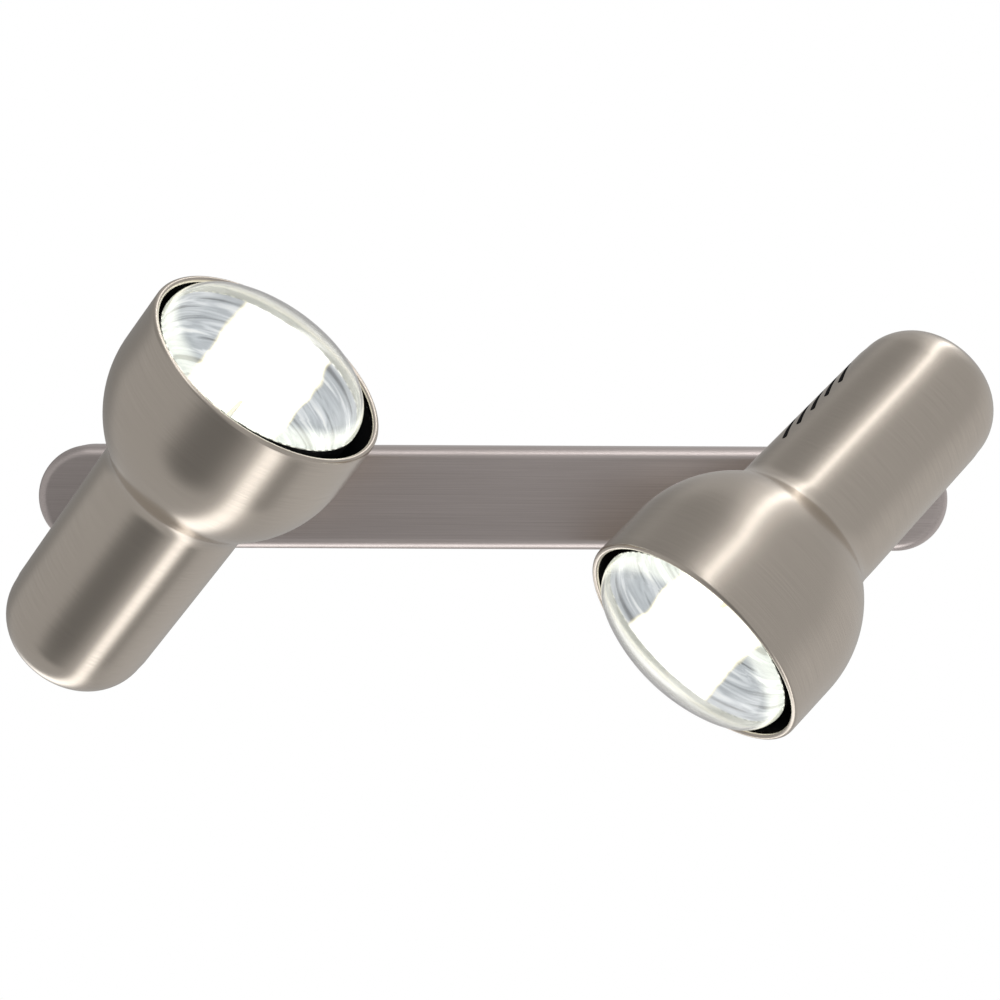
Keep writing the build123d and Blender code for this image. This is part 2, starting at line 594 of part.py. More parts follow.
    # -------- cast lug: foot saddled to the tube, tongue on the tilt screw
    foot = hinge.offset(AXIS_OFFSET - tube_radius(LUG_STATION) - LUG_THICKNESS)
    with BuildPart() as tube_lug:
        with BuildSketch(foot):
            RectangleRounded(LUG_LENGTH, LUG_WIDTH, LUG_CORNER)
        extrude(amount=2 * LUG_THICKNESS)
        fillet(tube_lug.edges().group_by(axis_of(foot))[0], LUG_THICKNESS / 4)
        with BuildSketch(Plane(origin=hinge.origin, x_dir=hinge.x_dir, z_dir=-hinge.y_dir)):
            Circle(TONGUE_RADIUS)
            with Locations((0, AXIS_OFFSET / 2 - tube_radius(LUG_STATION) / 2)):
                Rectangle(2 * TONGUE_RADIUS, AXIS_OFFSET - tube_radius(LUG_STATION))
            Circle(TILT_SCREW_RADIUS + RUNNING, mode=Mode.SUBTRACT)
        extrude(amount=TONGUE_THICKNESS / 2, both=True)
        with BuildSketch(meridian(head)):
            with BuildLine():
                Polyline(
                    (0, 0),
                    (tube_radius(0) + RUNNING, 0),
                    (tube_radius(NECK_STATION) + RUNNING, NECK_STATION),
                    (0, NECK_STATION),
                    close=True,
                )
            make_face()
        revolve(axis=axis_of(head), mode=Mode.SUBTRACT)
        for station in screw_stations:
            with BuildSketch(wall_side(head, station, inner_wall)):
                Circle(LUG_SCREW_RADIUS + RUNNING)
            extrude(amount=SHELL_WALL + LUG_SCREW_DEPTH + GAP, mode=Mode.SUBTRACT)
        for side in (-1, 1):
            with BuildSketch(wall_side(head, port_station, inner_wall, side * LEAD_PORT_Y)):
                Circle(LEAD_PORT_RADIUS)
            extrude(amount=2 * LUG_THICKNESS, mode=Mode.SUBTRACT)
    save(f"{name}_tube_lug", tube_lug.part)

    with BuildPart() as lug_screws:
        for station in screw_stations:
            leg_inside = tube_radius(station) - SHELL_WALL - BRACKET_THICKNESS - 2 * RUNNING
            depth = sqrt(leg_inside**2 - LUG_SCREW_HEAD_RADIUS**2)
            under_head = head.from_local_coords((-depth, 0, station))
            shank = tube_radius(station) + LUG_SCREW_DEPTH - depth
            seat = Plane(origin=under_head, x_dir=head.z_dir, z_dir=head.x_dir)
            add_screw(seat, LUG_SCREW_HEAD_RADIUS, LUG_SCREW_HEAD, LUG_SCREW_RADIUS, shank)
    save(f"{name}_lug_screws", lug_screws.part)

    # -------- spun shell: domed back, tube, spherical shoulder, barrel, rolled rim and vents
    shoulder_centre = MOUTH_RADIUS - SHOULDER_RADIUS
    reach = tube_radius(SHOULDER_STATION) - shoulder_centre
    slope_part = TUBE_SLOPE * reach
    squared = 1 + TUBE_SLOPE**2
    below = (slope_part + sqrt(slope_part**2 - squared * (reach**2 - SHOULDER_RADIUS**2))) / squared
    neck = SHOULDER_STATION - below
    neck_turn = -degrees(asin(below / SHOULDER_RADIUS))
    rim_station = SHELL_LENGTH - RIM_BEAD
    with BuildPart() as lamp_shell:
        with BuildSketch(meridian(head)) as outline:
            with BuildLine():
                Polyline((0, rim_station), (0, 0), (tube_radius(0), 0), (tube_radius(neck), neck))
                centre = (shoulder_centre, SHOULDER_STATION)
                CenterArc(centre, SHOULDER_RADIUS, neck_turn, -neck_turn)
                Polyline((MOUTH_RADIUS, SHOULDER_STATION), (MOUTH_RADIUS, rim_station), (0, rim_station))
            make_face()
            corners = outline.vertices().sort_by(Axis.Y)
            fillet(corners.filter_by_position(Axis.X, BACK_RADIUS - 1, BACK_RADIUS + 0.1), BACK_CORNER)
            fillet(outline.vertices().filter_by_position(Axis.Y, neck - 0.1, neck + 0.1), NECK_FILLET)
        revolve(axis=axis_of(head))
        mouth = lamp_shell.faces().sort_by(axis_of(head))[-1]
        offset(amount=-SHELL_WALL, openings=mouth)
        with BuildSketch(meridian(head)):
            with Locations((MOUTH_RADIUS - RIM_BEAD, rim_station)):
                Circle(RIM_BEAD)
        revolve(axis=axis_of(head))
        for station in screw_stations:
            with BuildSketch(wall_side(head, station, inner_wall - SHELL_WALL)):
                Circle(LUG_SCREW_RADIUS + RUNNING)
            extrude(amount=3 * SHELL_WALL, mode=Mode.SUBTRACT)
        for side in (-1, 1):
            with BuildSketch(wall_side(head, port_station, inner_wall - SHELL_WALL, side * LEAD_PORT_Y)):
                Circle(LEAD_PORT_RADIUS)
            extrude(amount=3 * SHELL_WALL, mode=Mode.SUBTRACT)
        outward = head.x_dir * cos(radians(VENT_TURN)) + head.y_dir * sin(radians(VENT_TURN)) * vent_side
        around = head.y_dir * cos(radians(VENT_TURN)) * vent_side - head.x_dir * sin(radians(VENT_TURN))
        slot_run = around * cos(radians(VENT_SLANT)) - head.z_dir * sin(radians(VENT_SLANT))
        for index in range(VENT_COUNT):
            station = VENT_STATION + VENT_PITCH * index
            under_wall = head.offset(station).origin + outward * (tube_radius(station) - 3 * SHELL_WALL)
            with BuildSketch(Plane(origin=under_wall, x_dir=slot_run, z_dir=outward)):
                SlotOverall(VENT_LENGTH, VENT_WIDTH)
            extrude(amount=4 * SHELL_WALL, mode=Mode.SUBTRACT)
    save(f"{name}_lamp_shell", lamp_shell.part)

    # -------- folded bracket on the lug screws, and the lampholder screwed to it
    bracket_end = LUG_STATION + LUG_SCREW_OFFSET + LUG_SCREW_HEAD_RADIUS + BRACKET_THICKNESS
    with BuildPart() as holder_bracket:
        with BuildSketch(meridian(head, 180 - BRACKET_ARC / 2)) as leg:
            with BuildLine():
                near = tube_radius(bracket_start) - SHELL_WALL - RUNNING
                far = tube_radius(bracket_end) - SHELL_WALL - RUNNING
                Polyline(
                    (near, bracket_start),
                    (far, bracket_end),
                    (far - BRACKET_THICKNESS, bracket_end),
                    (near - BRACKET_THICKNESS, HOLDER_BASE),
                    (near - 2 * BRACKET_THICKNESS, HOLDER_BASE),
                    (near - 2 * BRACKET_THICKNESS, bracket_start),
                    close=True,
                )
            make_face()
            fillet(leg.vertices().filter_by_position(Axis.X, near - SEAT, near + SEAT), BRACKET_FOLD)
        revolve(axis=axis_of(head), revolution_arc=BRACKET_ARC)
        with BuildSketch(head.offset(bracket_start)):
            with Locations(((HOLDER_SCREW_OFFSET + BRACKET_WIDTH / 3 - near) / 2, 0)):
                Rectangle(HOLDER_SCREW_OFFSET + BRACKET_WIDTH / 3 + near, BRACKET_WIDTH)
            Circle(near - BRACKET_FOLD, mode=Mode.INTERSECT)
            with Locations((-HOLDER_SCREW_OFFSET, 0), (HOLDER_SCREW_OFFSET, 0)):
                Circle(HOLDER_SCREW_RADIUS + RUNNING, mode=Mode.SUBTRACT)
        extrude(amount=BRACKET_THICKNESS)
        for station in screw_stations:
            with BuildSketch(wall_side(head, station, inner_wall - 2 * BRACKET_THICKNESS)):
                Circle(LUG_SCREW_RADIUS + RUNNING)
            extrude(amount=3 * BRACKET_THICKNESS, mode=Mode.SUBTRACT)
        for side in (-1, 1):
            start = inner_wall - 2 * BRACKET_THICKNESS
            with BuildSketch(wall_side(head, port_station, start, side * LEAD_PORT_Y)):
                Circle(LEAD_PORT_RADIUS)
            extrude(amount=3 * BRACKET_THICKNESS, mode=Mode.SUBTRACT)
    save(f"{name}_holder_bracket", holder_bracket.part)

    with BuildPart() as holder_screws:
        for x in (-HOLDER_SCREW_OFFSET, HOLDER_SCREW_OFFSET):
            under_head = head.from_local_coords((x, 0, bracket_start - SEAT))
            seat = Plane(origin=under_head, x_dir=head.x_dir, z_dir=-head.z_dir)
            shank = BRACKET_THICKNESS + HOLDER_SCREW_DEPTH
            add_screw(seat, HOLDER_SCREW_HEAD_RADIUS, HOLDER_SCREW_HEAD, HOLDER_SCREW_RADIUS, shank)
    save(f"{name}_holder_screws", holder_screws.part)

    with BuildPart() as lampholder_body:
        with BuildSketch(meridian(head)) as profile:
            with BuildLine():
                Polyline(
                    (0, HOLDER_BASE),
                    (HOLDER_RADIUS, HOLDER_BASE),
                    (HOLDER_RADIUS, HOLDER_FLOOR),
                    (HOLDER_MOUTH_RADIUS, HOLDER_TOP),
                    (HOLDER_BORE, HOLDER_TOP),
                    (HOLDER_BORE, HOLDER_FLOOR),
                    (0, HOLDER_FLOOR),
                    close=True,
                )
            make_face()
            fillet(profile.vertices().filter_by_position(Axis.X, HOLDER_RADIUS, HOLDER_RADIUS), HOLDER_EDGE)
        revolve(axis=axis_of(head))
        with BuildSketch(head.offset(HOLDER_BASE)):
            with Locations((-HOLDER_SCREW_OFFSET, 0), (HOLDER_SCREW_OFFSET, 0)):
                Circle(HOLDER_SCREW_RADIUS + SEAT)
        extrude(amount=HOLDER_SCREW_DEPTH + GAP, mode=Mode.SUBTRACT)
        for side in (-1, 1):
            start = HOLDER_RADIUS - TERMINAL_DEPTH
            with BuildSketch(wall_side(head, TERMINAL_STATION, start, side * LEAD_PORT_Y)):
                Circle(LEAD_PORT_RADIUS)
            extrude(amount=TERMINAL_DEPTH, mode=Mode.SUBTRACT)
    save(f"{name}_lampholder_body", lampholder_body.part)

    with BuildPart() as contact_shell:
        floor = HOLDER_FLOOR + SEAT
        with BuildSketch(meridian(head)):
            with BuildLine():
                Polyline(
                    (CONTACT_FLANGE, floor),
                    (CONTACT_RADIUS, floor),
                    (CONTACT_RADIUS, floor + CONTACT_LENGTH),
                    (CONTACT_RADIUS - CONTACT_WALL, floor + CONTACT_LENGTH),
                    (CONTACT_RADIUS - CONTACT_WALL, floor + CONTACT_WALL),
                    (CONTACT_FLANGE, floor + CONTACT_WALL),
                    close=True,
                )
            make_face()
        revolve(axis=axis_of(head))
    save(f"{name}_contact_shell", contact_shell.part)

    with BuildPart() as centre_contact:
        leaf_foot = HOLDER_FLOOR + SEAT + LEAF_THICKNESS / 2
        leaf_top = LAMP_TIP_STATION - 2 * RUNNING - LEAF_THICKNESS / 2
        with BuildSketch(meridian(head)):
            with BuildLine() as strip:
                Polyline(
                    (-LEAF_REACH, leaf_foot),
                    (-LEAF_REACH / 2, leaf_foot),
                    (0, leaf_top),
                    (LEAF_REACH, leaf_top),
                )
                offset(amount=LEAF_THICKNESS / 2)
            make_face()
        extrude(amount=LEAF_WIDTH / 2, both=True)
    save(f"{name}_centre_contact", centre_contact.part)

    with BuildPart() as head_leads:
        terminal_x = TERMINAL_STATION - LUG_STATION
        inside = AXIS_OFFSET - HOLDER_RADIUS - LEAD_INSET
        for side in (-1, 1):
            route = [
                (-LEAD_PASS_X, side * LEAD_PORT_Y, LEAD_BREAK),
                (-LEAD_PASS_X, side * LEAD_PORT_Y, inside),
                (terminal_x, side * LEAD_PORT_Y, inside),
                (terminal_x, side * LEAD_PORT_Y, AXIS_OFFSET - HOLDER_RADIUS + TERMINAL_DEPTH / 2),
            ]
            add_lead([hinge.from_local_coords(point) for point in route], LEAD_TIGHT_BEND)
    save(f"{name}_head_leads", head_leads.part)

    # -------- reflector lamp, in its own leaning frame
    with BuildPart() as lamp_cap:
        with BuildSketch(lamp):
            Circle(LAMP_TIP_RADIUS)
        extrude(amount=LAMP_TIP)
        with BuildSketch(meridian(lamp)):
            with BuildLine():
                chamfer_width = LAMP_CAP_RADIUS - LAMP_INSULATOR_RADIUS
                outer = [
                    (LAMP_INSULATOR_RADIUS, LAMP_CAP_START),
                    (LAMP_CAP_RADIUS, LAMP_CAP_START + chamfer_width),
                    (LAMP_CAP_RADIUS, LAMP_CAP_END - LAMP_CAP_FLARE),
                    (LAMP_CAP_END_RADIUS, LAMP_CAP_END),
                ]
                inner = [(radius - LAMP_CAP_WALL, station) for radius, station in reversed(outer)]
                Polyline(*outer, *inner, close=True)
            make_face()
        revolve(axis=axis_of(lamp))
    save(f"{name}_lamp_cap", lamp_cap.part)

    with BuildPart() as lamp_insulator:
        with BuildSketch(meridian(lamp)):
            with BuildLine():
                edge = LAMP_INSULATOR_RADIUS - LAMP_CAP_WALL - RUNNING
                Polyline(
                    (0, LAMP_TIP + SEAT),
                    (LAMP_TIP_RADIUS, LAMP_TIP + SEAT),
                    (edge, LAMP_CAP_START),
                    (edge, LAMP_CAP_START + LAMP_TIP),
                    (0, LAMP_CAP_START + LAMP_TIP),
                    close=True,
                )
            make_face()
        revolve(axis=axis_of(lamp))
    save(f"{name}_lamp_insulator", lamp_insulator.part)

    with BuildPart() as lamp_reflector:
        with BuildSketch(meridian(lamp)):
            with BuildLine():
                for wall in (0, LAMP_GLASS):
                    neck_radius = LAMP_NECK_RADIUS - wall
                    brim = (LAMP_RADIUS - wall, LAMP_WIDEST - SEAT)
                    Polyline(
                        (LAMP_THROAT_RADIUS - wall, LAMP_THROAT_START),
                        (LAMP_THROAT_RADIUS - wall, LAMP_CAP_END),
                        (neck_radius, LAMP_NECK_START),
                        (neck_radius, LAMP_NECK_END),
                    )
                    TangentArc(brim, (neck_radius, LAMP_NECK_END), tangent=(0, -1))
                Line((LAMP_THROAT_RADIUS, LAMP_THROAT_START), (LAMP_THROAT_RADIUS - wall, LAMP_THROAT_START))
                Line((LAMP_RADIUS, LAMP_WIDEST - SEAT), (LAMP_RADIUS - wall, LAMP_WIDEST - SEAT))
            make_face()
        revolve(axis=axis_of(lamp))
    save(f"{name}_lamp_reflector", lamp_reflector.part)

    with BuildPart() as lamp_face:
        with BuildSketch(meridian(lamp)):
            with BuildLine():
                edge_centre = (LAMP_RADIUS - LAMP_EDGE_RADIUS, LAMP_WIDEST)
                face_centre = (0, LAMP_LENGTH - LAMP_FACE_RADIUS)
                turn = degrees(asin((LAMP_WIDEST - face_centre[1]) / (LAMP_FACE_RADIUS - LAMP_EDGE_RADIUS)))
                for wall in (0, LAMP_GLASS):
                    CenterArc(edge_centre, LAMP_EDGE_RADIUS - wall, 0, turn)
                    CenterArc(face_centre, LAMP_FACE_RADIUS - wall, turn, 90 - turn)
                Line((LAMP_RADIUS, LAMP_WIDEST), (LAMP_RADIUS - LAMP_GLASS, LAMP_WIDEST))
                Line((0, LAMP_LENGTH), (0, LAMP_LENGTH - LAMP_GLASS))
            make_face()
        revolve(axis=axis_of(lamp))
    save(f"{name}_lamp_face", lamp_face.part)

    with BuildPart() as lamp_stem:
        stem_flare = LAMP_THROAT_RADIUS - LAMP_GLASS - SEAT
        with BuildSketch(meridian(lamp)):
            with BuildLine():
                Polyline(
                    (0, LAMP_THROAT_START),
                    (stem_flare, LAMP_THROAT_START),
                    (stem_flare, LAMP_THROAT_START + 2 * LAMP_GLASS),
                    (LAMP_STEM_RADIUS, LAMP_CAP_END),
                    (LAMP_STEM_TOP_RADIUS, LAMP_NECK_END),
                    (LAMP_STEM_TOP_RADIUS, LAMP_STEM_TOP),
                    (0, LAMP_STEM_TOP),
                    close=True,
                )
            make_face()
        revolve(axis=axis_of(lamp))
    save(f"{name}_lamp_stem", lamp_stem.part)

    with BuildPart() as lamp_supports:
        for side in (-1, 1):
            root = side * LAMP_STEM_TOP_RADIUS / 2
            tip = side * (FILAMENT_HALF - SUPPORT_RADIUS)
            with BuildLine() as wire:
                points = [
                    (root, 0, LAMP_STEM_TOP + SEAT),
                    (root, 0, LAMP_STEM_TOP + LAMP_STEM_TOP_RADIUS),
                    (tip, 0, FILAMENT_STATION - LAMP_STEM_TOP_RADIUS),
                    (tip, 0, FILAMENT_STATION - FILAMENT_RADIUS),
                ]
                FilletPolyline(*[lamp.from_local_coords(point) for point in points], radius=1)
            with BuildSketch(Plane(origin=wire.line @ 0, z_dir=wire.line % 0)):
                Circle(SUPPORT_RADIUS)
            sweep(path=wire.line)
    save(f"{name}_lamp_supports", lamp_supports.part)

    with BuildPart() as lamp_filament:
        ends = [(-FILAMENT_HALF, FILAMENT_STATION), (FILAMENT_HALF, FILAMENT_STATION)]
        crown = (0, FILAMENT_STATION + FILAMENT_RISE)
        with BuildLine() as coil:
            points = [lamp.from_local_coords((x, 0, z)) for x, z in (ends[0], crown, ends[1])]
            ThreePointArc(*points)
        with BuildSketch(Plane(origin=coil.line @ 0, z_dir=coil.line % 0)):
            Circle(FILAMENT_RADIUS)
        sweep(path=coil.line)
    save(f"{name}_lamp_filament", lamp_filament.part)
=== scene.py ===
from math import cos, pi, radians, sin

import bmesh
import bpy
from mathutils import Matrix, Vector


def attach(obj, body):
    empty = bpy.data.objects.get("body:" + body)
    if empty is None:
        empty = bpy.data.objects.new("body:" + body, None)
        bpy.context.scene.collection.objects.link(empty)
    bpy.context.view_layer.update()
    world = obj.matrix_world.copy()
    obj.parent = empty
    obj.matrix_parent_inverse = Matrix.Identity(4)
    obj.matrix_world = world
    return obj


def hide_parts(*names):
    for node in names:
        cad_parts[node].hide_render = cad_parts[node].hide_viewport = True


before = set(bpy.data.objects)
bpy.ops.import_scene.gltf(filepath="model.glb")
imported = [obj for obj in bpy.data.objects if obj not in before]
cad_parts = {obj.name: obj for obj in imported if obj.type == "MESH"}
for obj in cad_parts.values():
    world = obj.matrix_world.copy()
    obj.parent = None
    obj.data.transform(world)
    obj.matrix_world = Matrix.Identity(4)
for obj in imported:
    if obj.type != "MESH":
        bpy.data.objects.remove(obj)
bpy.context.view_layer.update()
scene = bpy.context.scene
scene.view_settings.view_transform = "Standard"

# ---- Camera
# A long lens a little over a metre in front of the bar, almost level with it, turned a quarter of
# a degree on its own axis.
view_turn, view_rise, view_roll = radians(0.12), radians(2.67), radians(0.25)
toward_camera = Vector((
    sin(view_turn) * cos(view_rise), -cos(view_turn) * cos(view_rise), sin(view_rise)))
camera_data = bpy.data.cameras.new("camera")
camera_data.sensor_width = 36.0
camera_data.lens = 108.0
camera_data.clip_end = 30.0
camera = bpy.data.objects.new("camera", camera_data)
scene.collection.objects.link(camera)
level_right = Vector((cos(view_turn), sin(view_turn), 0.0))
level_up = toward_camera.cross(level_right)
camera_right = level_right * cos(view_roll) + level_up * sin(view_roll)
camera_up = level_up * cos(view_roll) - level_right * sin(view_roll)
view_centre, view_distance = Vector((0.00276, -0.040, 0.00025)), 1.13349
camera_place = view_centre + toward_camera * view_distance
camera.matrix_world = Matrix.Translation(camera_place) @ Matrix(
    (camera_right, camera_up, toward_camera)).transposed().to_4x4()
scene.camera = camera

# ---- Studio
# White paper all round as the camera sees it.  Metal and glass see an even grey tent with soft
# panels, some darker than the rest, and two long strips of light that run from the front to the
# back, one overhead for the right head and one underneath for the left.
world = bpy.data.worlds.new("tent")
scene.world = world
world.use_nodes = True
tent = world.node_tree
tent.nodes.clear()
direction = tent.nodes.new("ShaderNodeTexCoord")
tent_level = 0.47


def tent_angle(towards):
    """The cosine of the angle between the ray and a direction."""
    facing = tent.nodes.new("ShaderNodeVectorMath")
    facing.operation = "DOT_PRODUCT"
    facing.inputs[1].default_value = Vector(towards).normalized()
    tent.links.new(direction.outputs["Generated"], facing.inputs[0])
    return facing.outputs["Value"]


def tent_fade(value, none, full, strength):
    """A soft step from nothing at one value to full strength at another."""
    falloff = tent.nodes.new("ShaderNodeMapRange")
    falloff.interpolation_type = "SMOOTHSTEP"
    falloff.inputs["From Min"].default_value = none
    falloff.inputs["From Max"].default_value = full
    falloff.inputs["To Max"].default_value = strength
    tent.links.new(value, falloff.inputs["Value"])
    return falloff.outputs["Result"]


def tent_math(operation, first, second=None):
    """One sum on tent values."""
    step = tent.nodes.new("ShaderNodeMath")
    step.operation = operation
    for socket, value in zip(step.inputs, (first, second)):
        if isinstance(value, float):
            socket.default_value = value
        elif value is not None:
            tent.links.new(value, socket)
    return step.outputs[0]


total = tent_level
# Soft panels: towards, cosine where each starts, cosine where it is full, strength
for towards, none, full, strength in (
    ((-0.50, -0.55, -0.67), 0.86, 0.99, -0.27),
    ((-0.35, -0.93, -0.05), 0.86, 0.97, -0.20),
    ((-0.50, 0.80, 0.25), 0.84, 0.98, -0.18),
    ((-0.50, 0.10, 0.86), 0.75, 0.98, -0.14),
    ((0.27, 0.02, -0.96), 0.975, 0.998, -0.22),
    ((0.75, 0.50, -0.43), 0.60, 0.95, 0.12),
):
    total = tent_math("ADD", total, tent_fade(tent_angle(towards), none, full, strength))
# Strips: the normal of the plane they lie in, their middle, half width, strength
for across, middle, half_width, strength in (
    ((-0.912, 0.307, 0.268), (0.33, 0.05, 0.94), 0.065, 2.3),
    ((-0.912, 0.307, 0.268), (0.33, 0.05, 0.94), 0.340, 0.32),
    ((0.884, 0.468, -0.006), (-0.15, 0.25, -0.95), 0.170, 1.60),
):
    off_strip = tent_math("ABSOLUTE", tent_angle(across))
    on_strip = tent_fade(off_strip, half_width, half_width * 0.3, strength)
    along_strip = tent_fade(tent_angle(middle), 0.45, 0.80, 1.0)
    total = tent_math("ADD", total, tent_math("MULTIPLY", on_strip, along_strip))
tent_light = tent.nodes.new("ShaderNodeBackground")
tent_light.inputs["Color"].default_value = (1.0, 0.985, 0.97, 1.0)
tent.links.new(total, tent_light.inputs["Strength"])
paper = tent.nodes.new("ShaderNodeBackground")
paper.inputs["Color"].default_value = (1.0, 1.0, 1.0, 1.0)
paper.inputs["Strength"].default_value = 1.0
ray = tent.nodes.new("ShaderNodeLightPath")
choose = tent.nodes.new("ShaderNodeMixShader")
tent.links.new(ray.outputs["Is Camera Ray"], choose.inputs["Fac"])
tent.links.new(tent_light.outputs[0], choose.inputs[1])
tent.links.new(paper.outputs[0], choose.inputs[2])
tent_out = tent.nodes.new("ShaderNodeOutputWorld")
tent.links.new(choose.outputs[0], tent_out.inputs["Surface"])

for label, place, aim, size, watts in (
    ("high_box", (0.36, -0.94, 1.37), (0.10, -0.08, 0.0), 0.60, 8.0),
):
    lamp_data = bpy.data.lights.new(label, "AREA")
    lamp_data.size = size
    lamp_data.energy = watts
    light = bpy.data.objects.new(label, lamp_data)
    scene.collection.objects.link(light)
    light.location = place
    light.rotation_euler = (Vector(aim) - Vector(place)).to_track_quat("-Z", "Y").to_euler()
    light.visible_glossy = False

floor_mesh = bpy.data.meshes.new("floor")
floor_height = -0.45
floor_corners = [(x, y, floor_height) for x, y in ((-1.8, -1.9), (1.8, -1.9), (1.8, 0.9), (-1.8, 0.9))]
floor_mesh.from_pydata(floor_corners, [], [(0, 1, 2, 3)])
floor = bpy.data.objects.new("floor", floor_mesh)
scene.collection.objects.link(floor)
floor_paint = bpy.data.materials.new("pale_floor")
floor_paint.use_nodes = True
floor_shader = floor_paint.node_tree.nodes["Principled BSDF"]
floor_shader.inputs["Roughness"].default_value = 0.8
floor_grain = floor_paint.node_tree.nodes.new("ShaderNodeTexNoise")
floor_grain.inputs["Scale"].default_value = 3.0
floor_tone = floor_paint.node_tree.nodes.new("ShaderNodeValToRGB")
floor_tone.color_ramp.elements[0].color = (0.84, 0.84, 0.84, 1.0)
floor_tone.color_ramp.elements[1].color = (0.88, 0.88, 0.88, 1.0)
floor_paint.node_tree.links.new(floor_grain.outputs["Fac"], floor_tone.inputs["Fac"])
floor_paint.node_tree.links.new(floor_tone.outputs["Color"], floor_shader.inputs["Base Color"])
floor_mesh.materials.append(floor_paint)
# The metal sees the tent under the part, not the floor
floor.visible_glossy = False

# ---- Bar cover
# Pressed steel tray with round ends, brushed along its length and nickel plated.  Its front edge
# is rolled over, and it slips over the wall strap and takes one screw in each long side.
brushing = bpy.data.node_groups.new("brushing", "ShaderNodeTree")
for label, kind, value in (
    ("Across", "NodeSocketVector", None), ("Lines", "NodeSocketFloat", 900.0),
    ("Light", "NodeSocketColor", (0.6, 0.56, 0.52, 1.0)),
    ("Dark", "NodeSocketColor", (0.5, 0.46, 0.43, 1.0)),
    ("Gloss", "NodeSocketFloat", 0.3), ("Depth", "NodeSocketFloat", 0.00001),
):
    socket = brushing.interface.new_socket(label, in_out="INPUT", socket_type=kind)
    if value is not None:
        socket.default_value = value
surface_outputs = (
    ("Color", "NodeSocketColor"), ("Roughness", "NodeSocketFloat"), ("Normal", "NodeSocketVector"))
for label, kind in surface_outputs:
    brushing.interface.new_socket(label, in_out="OUTPUT", socket_type=kind)
brush_in = brushing.nodes.new("NodeGroupInput")
brush_out = brushing.nodes.new("NodeGroupOutput")
fine = brushing.nodes.new("ShaderNodeTexNoise")
fine.inputs["Detail"].default_value = 3.0
fine.inputs["Roughness"].default_value = 0.65
brushing.links.new(brush_in.outputs["Across"], fine.inputs["Vector"])
brushing.links.new(brush_in.outputs["Lines"], fine.inputs["Scale"])
cloud = brushing.nodes.new("ShaderNodeTexNoise")
cloud.inputs["Scale"].default_value = 22.0
cloud.inputs["Detail"].default_value = 2.0
where = brushing.nodes.new("ShaderNodeTexCoord")
brushing.links.new(where.outputs["Object"], cloud.inputs["Vector"])
blend_noise = brushing.nodes.new("ShaderNodeMix")
blend_noise.inputs["Factor"].default_value = 0.12
brushing.links.new(fine.outputs["Fac"], blend_noise.inputs["A"])
brushing.links.new(cloud.outputs["Fac"], blend_noise.inputs["B"])
spread = brushing.nodes.new("ShaderNodeMapRange")
spread.inputs["From Min"].default_value = 0.35
spread.inputs["From Max"].default_value = 0.65
brushing.links.new(blend_noise.outputs["Result"], spread.inputs["Value"])
tone = brushing.nodes.new("ShaderNodeMix")
tone.data_type = "RGBA"
brushing.links.new(spread.outputs["Result"], tone.inputs["Factor"])
brushing.links.new(brush_in.outputs["Dark"], tone.inputs[6])
brushing.links.new(brush_in.outputs["Light"], tone.inputs[7])
brushing.links.new(tone.outputs[2], brush_out.inputs["Color"])
rough = brushing.nodes.new("ShaderNodeMapRange")
rough.inputs["To Min"].default_value = 0.03
rough.inputs["To Max"].default_value = -0.02
brushing.links.new(spread.outputs["Result"], rough.inputs["Value"])
rough_sum = brushing.nodes.new("ShaderNodeMath")
brushing.links.new(rough.outputs["Result"], rough_sum.inputs[0])
brushing.links.new(brush_in.outputs["Gloss"], rough_sum.inputs[1])
brushing.links.new(rough_sum.outputs[0], brush_out.inputs["Roughness"])
groove = brushing.nodes.new("ShaderNodeBump")
groove.inputs["Strength"].default_value = 0.05
brushing.links.new(fine.outputs["Fac"], groove.inputs["Height"])
brushing.links.new(brush_in.outputs["Depth"], groove.inputs["Distance"])
brushing.links.new(groove.outputs["Normal"], brush_out.inputs["Normal"])


def brushed(name, light, dark, gloss, lines, stretch, uv=None, grain=0.0):
    """A nickel finish with its brush lines: stretch is how far each axis of the pattern is drawn out."""
    finish = bpy.data.materials.new(name)
    finish.use_nodes = True
    nodes, links = finish.node_tree.nodes, finish.node_tree.links
    shader = nodes["Principled BSDF"]
    shader.inputs["Metallic"].default_value = 1.0
    effect = nodes.new("ShaderNodeGroup")
    effect.node_tree = brushing
    effect.inputs["Lines"].default_value = lines
    effect.inputs["Light"].default_value = (*light, 1.0)
    effect.inputs["Dark"].default_value = (*dark, 1.0)
    effect.inputs["Gloss"].default_value = gloss
    place = nodes.new("ShaderNodeMapping")
    place.inputs["Scale"].default_value = stretch
    if uv:
        pattern = nodes.new("ShaderNodeUVMap")
        pattern.uv_map = uv
        links.new(pattern.outputs["UV"], place.inputs["Vector"])
        run = nodes.new("ShaderNodeTangent")
        run.direction_type = "UV_MAP"
        run.uv_map = uv
        links.new(run.outputs["Tangent"], shader.inputs["Tangent"])
        shader.inputs["Anisotropic"].default_value = grain
    else:
        pattern = nodes.new("ShaderNodeTexCoord")
        links.new(pattern.outputs["Object"], place.inputs["Vector"])
    links.new(place.outputs["Vector"], effect.inputs["Across"])
    links.new(effect.outputs["Color"], shader.inputs["Base Color"])
    links.new(effect.outputs["Roughness"], shader.inputs["Roughness"])
    links.new(effect.outputs["Normal"], shader.inputs["Normal"])
    return finish


bar_nickel = brushed(
    "bar_nickel", (0.70, 0.635, 0.62), (0.60, 0.54, 0.525), 0.30, 3400.0, (0.006, 1.0, 1.0))
bar_length, bar_height = 0.350, 0.0395


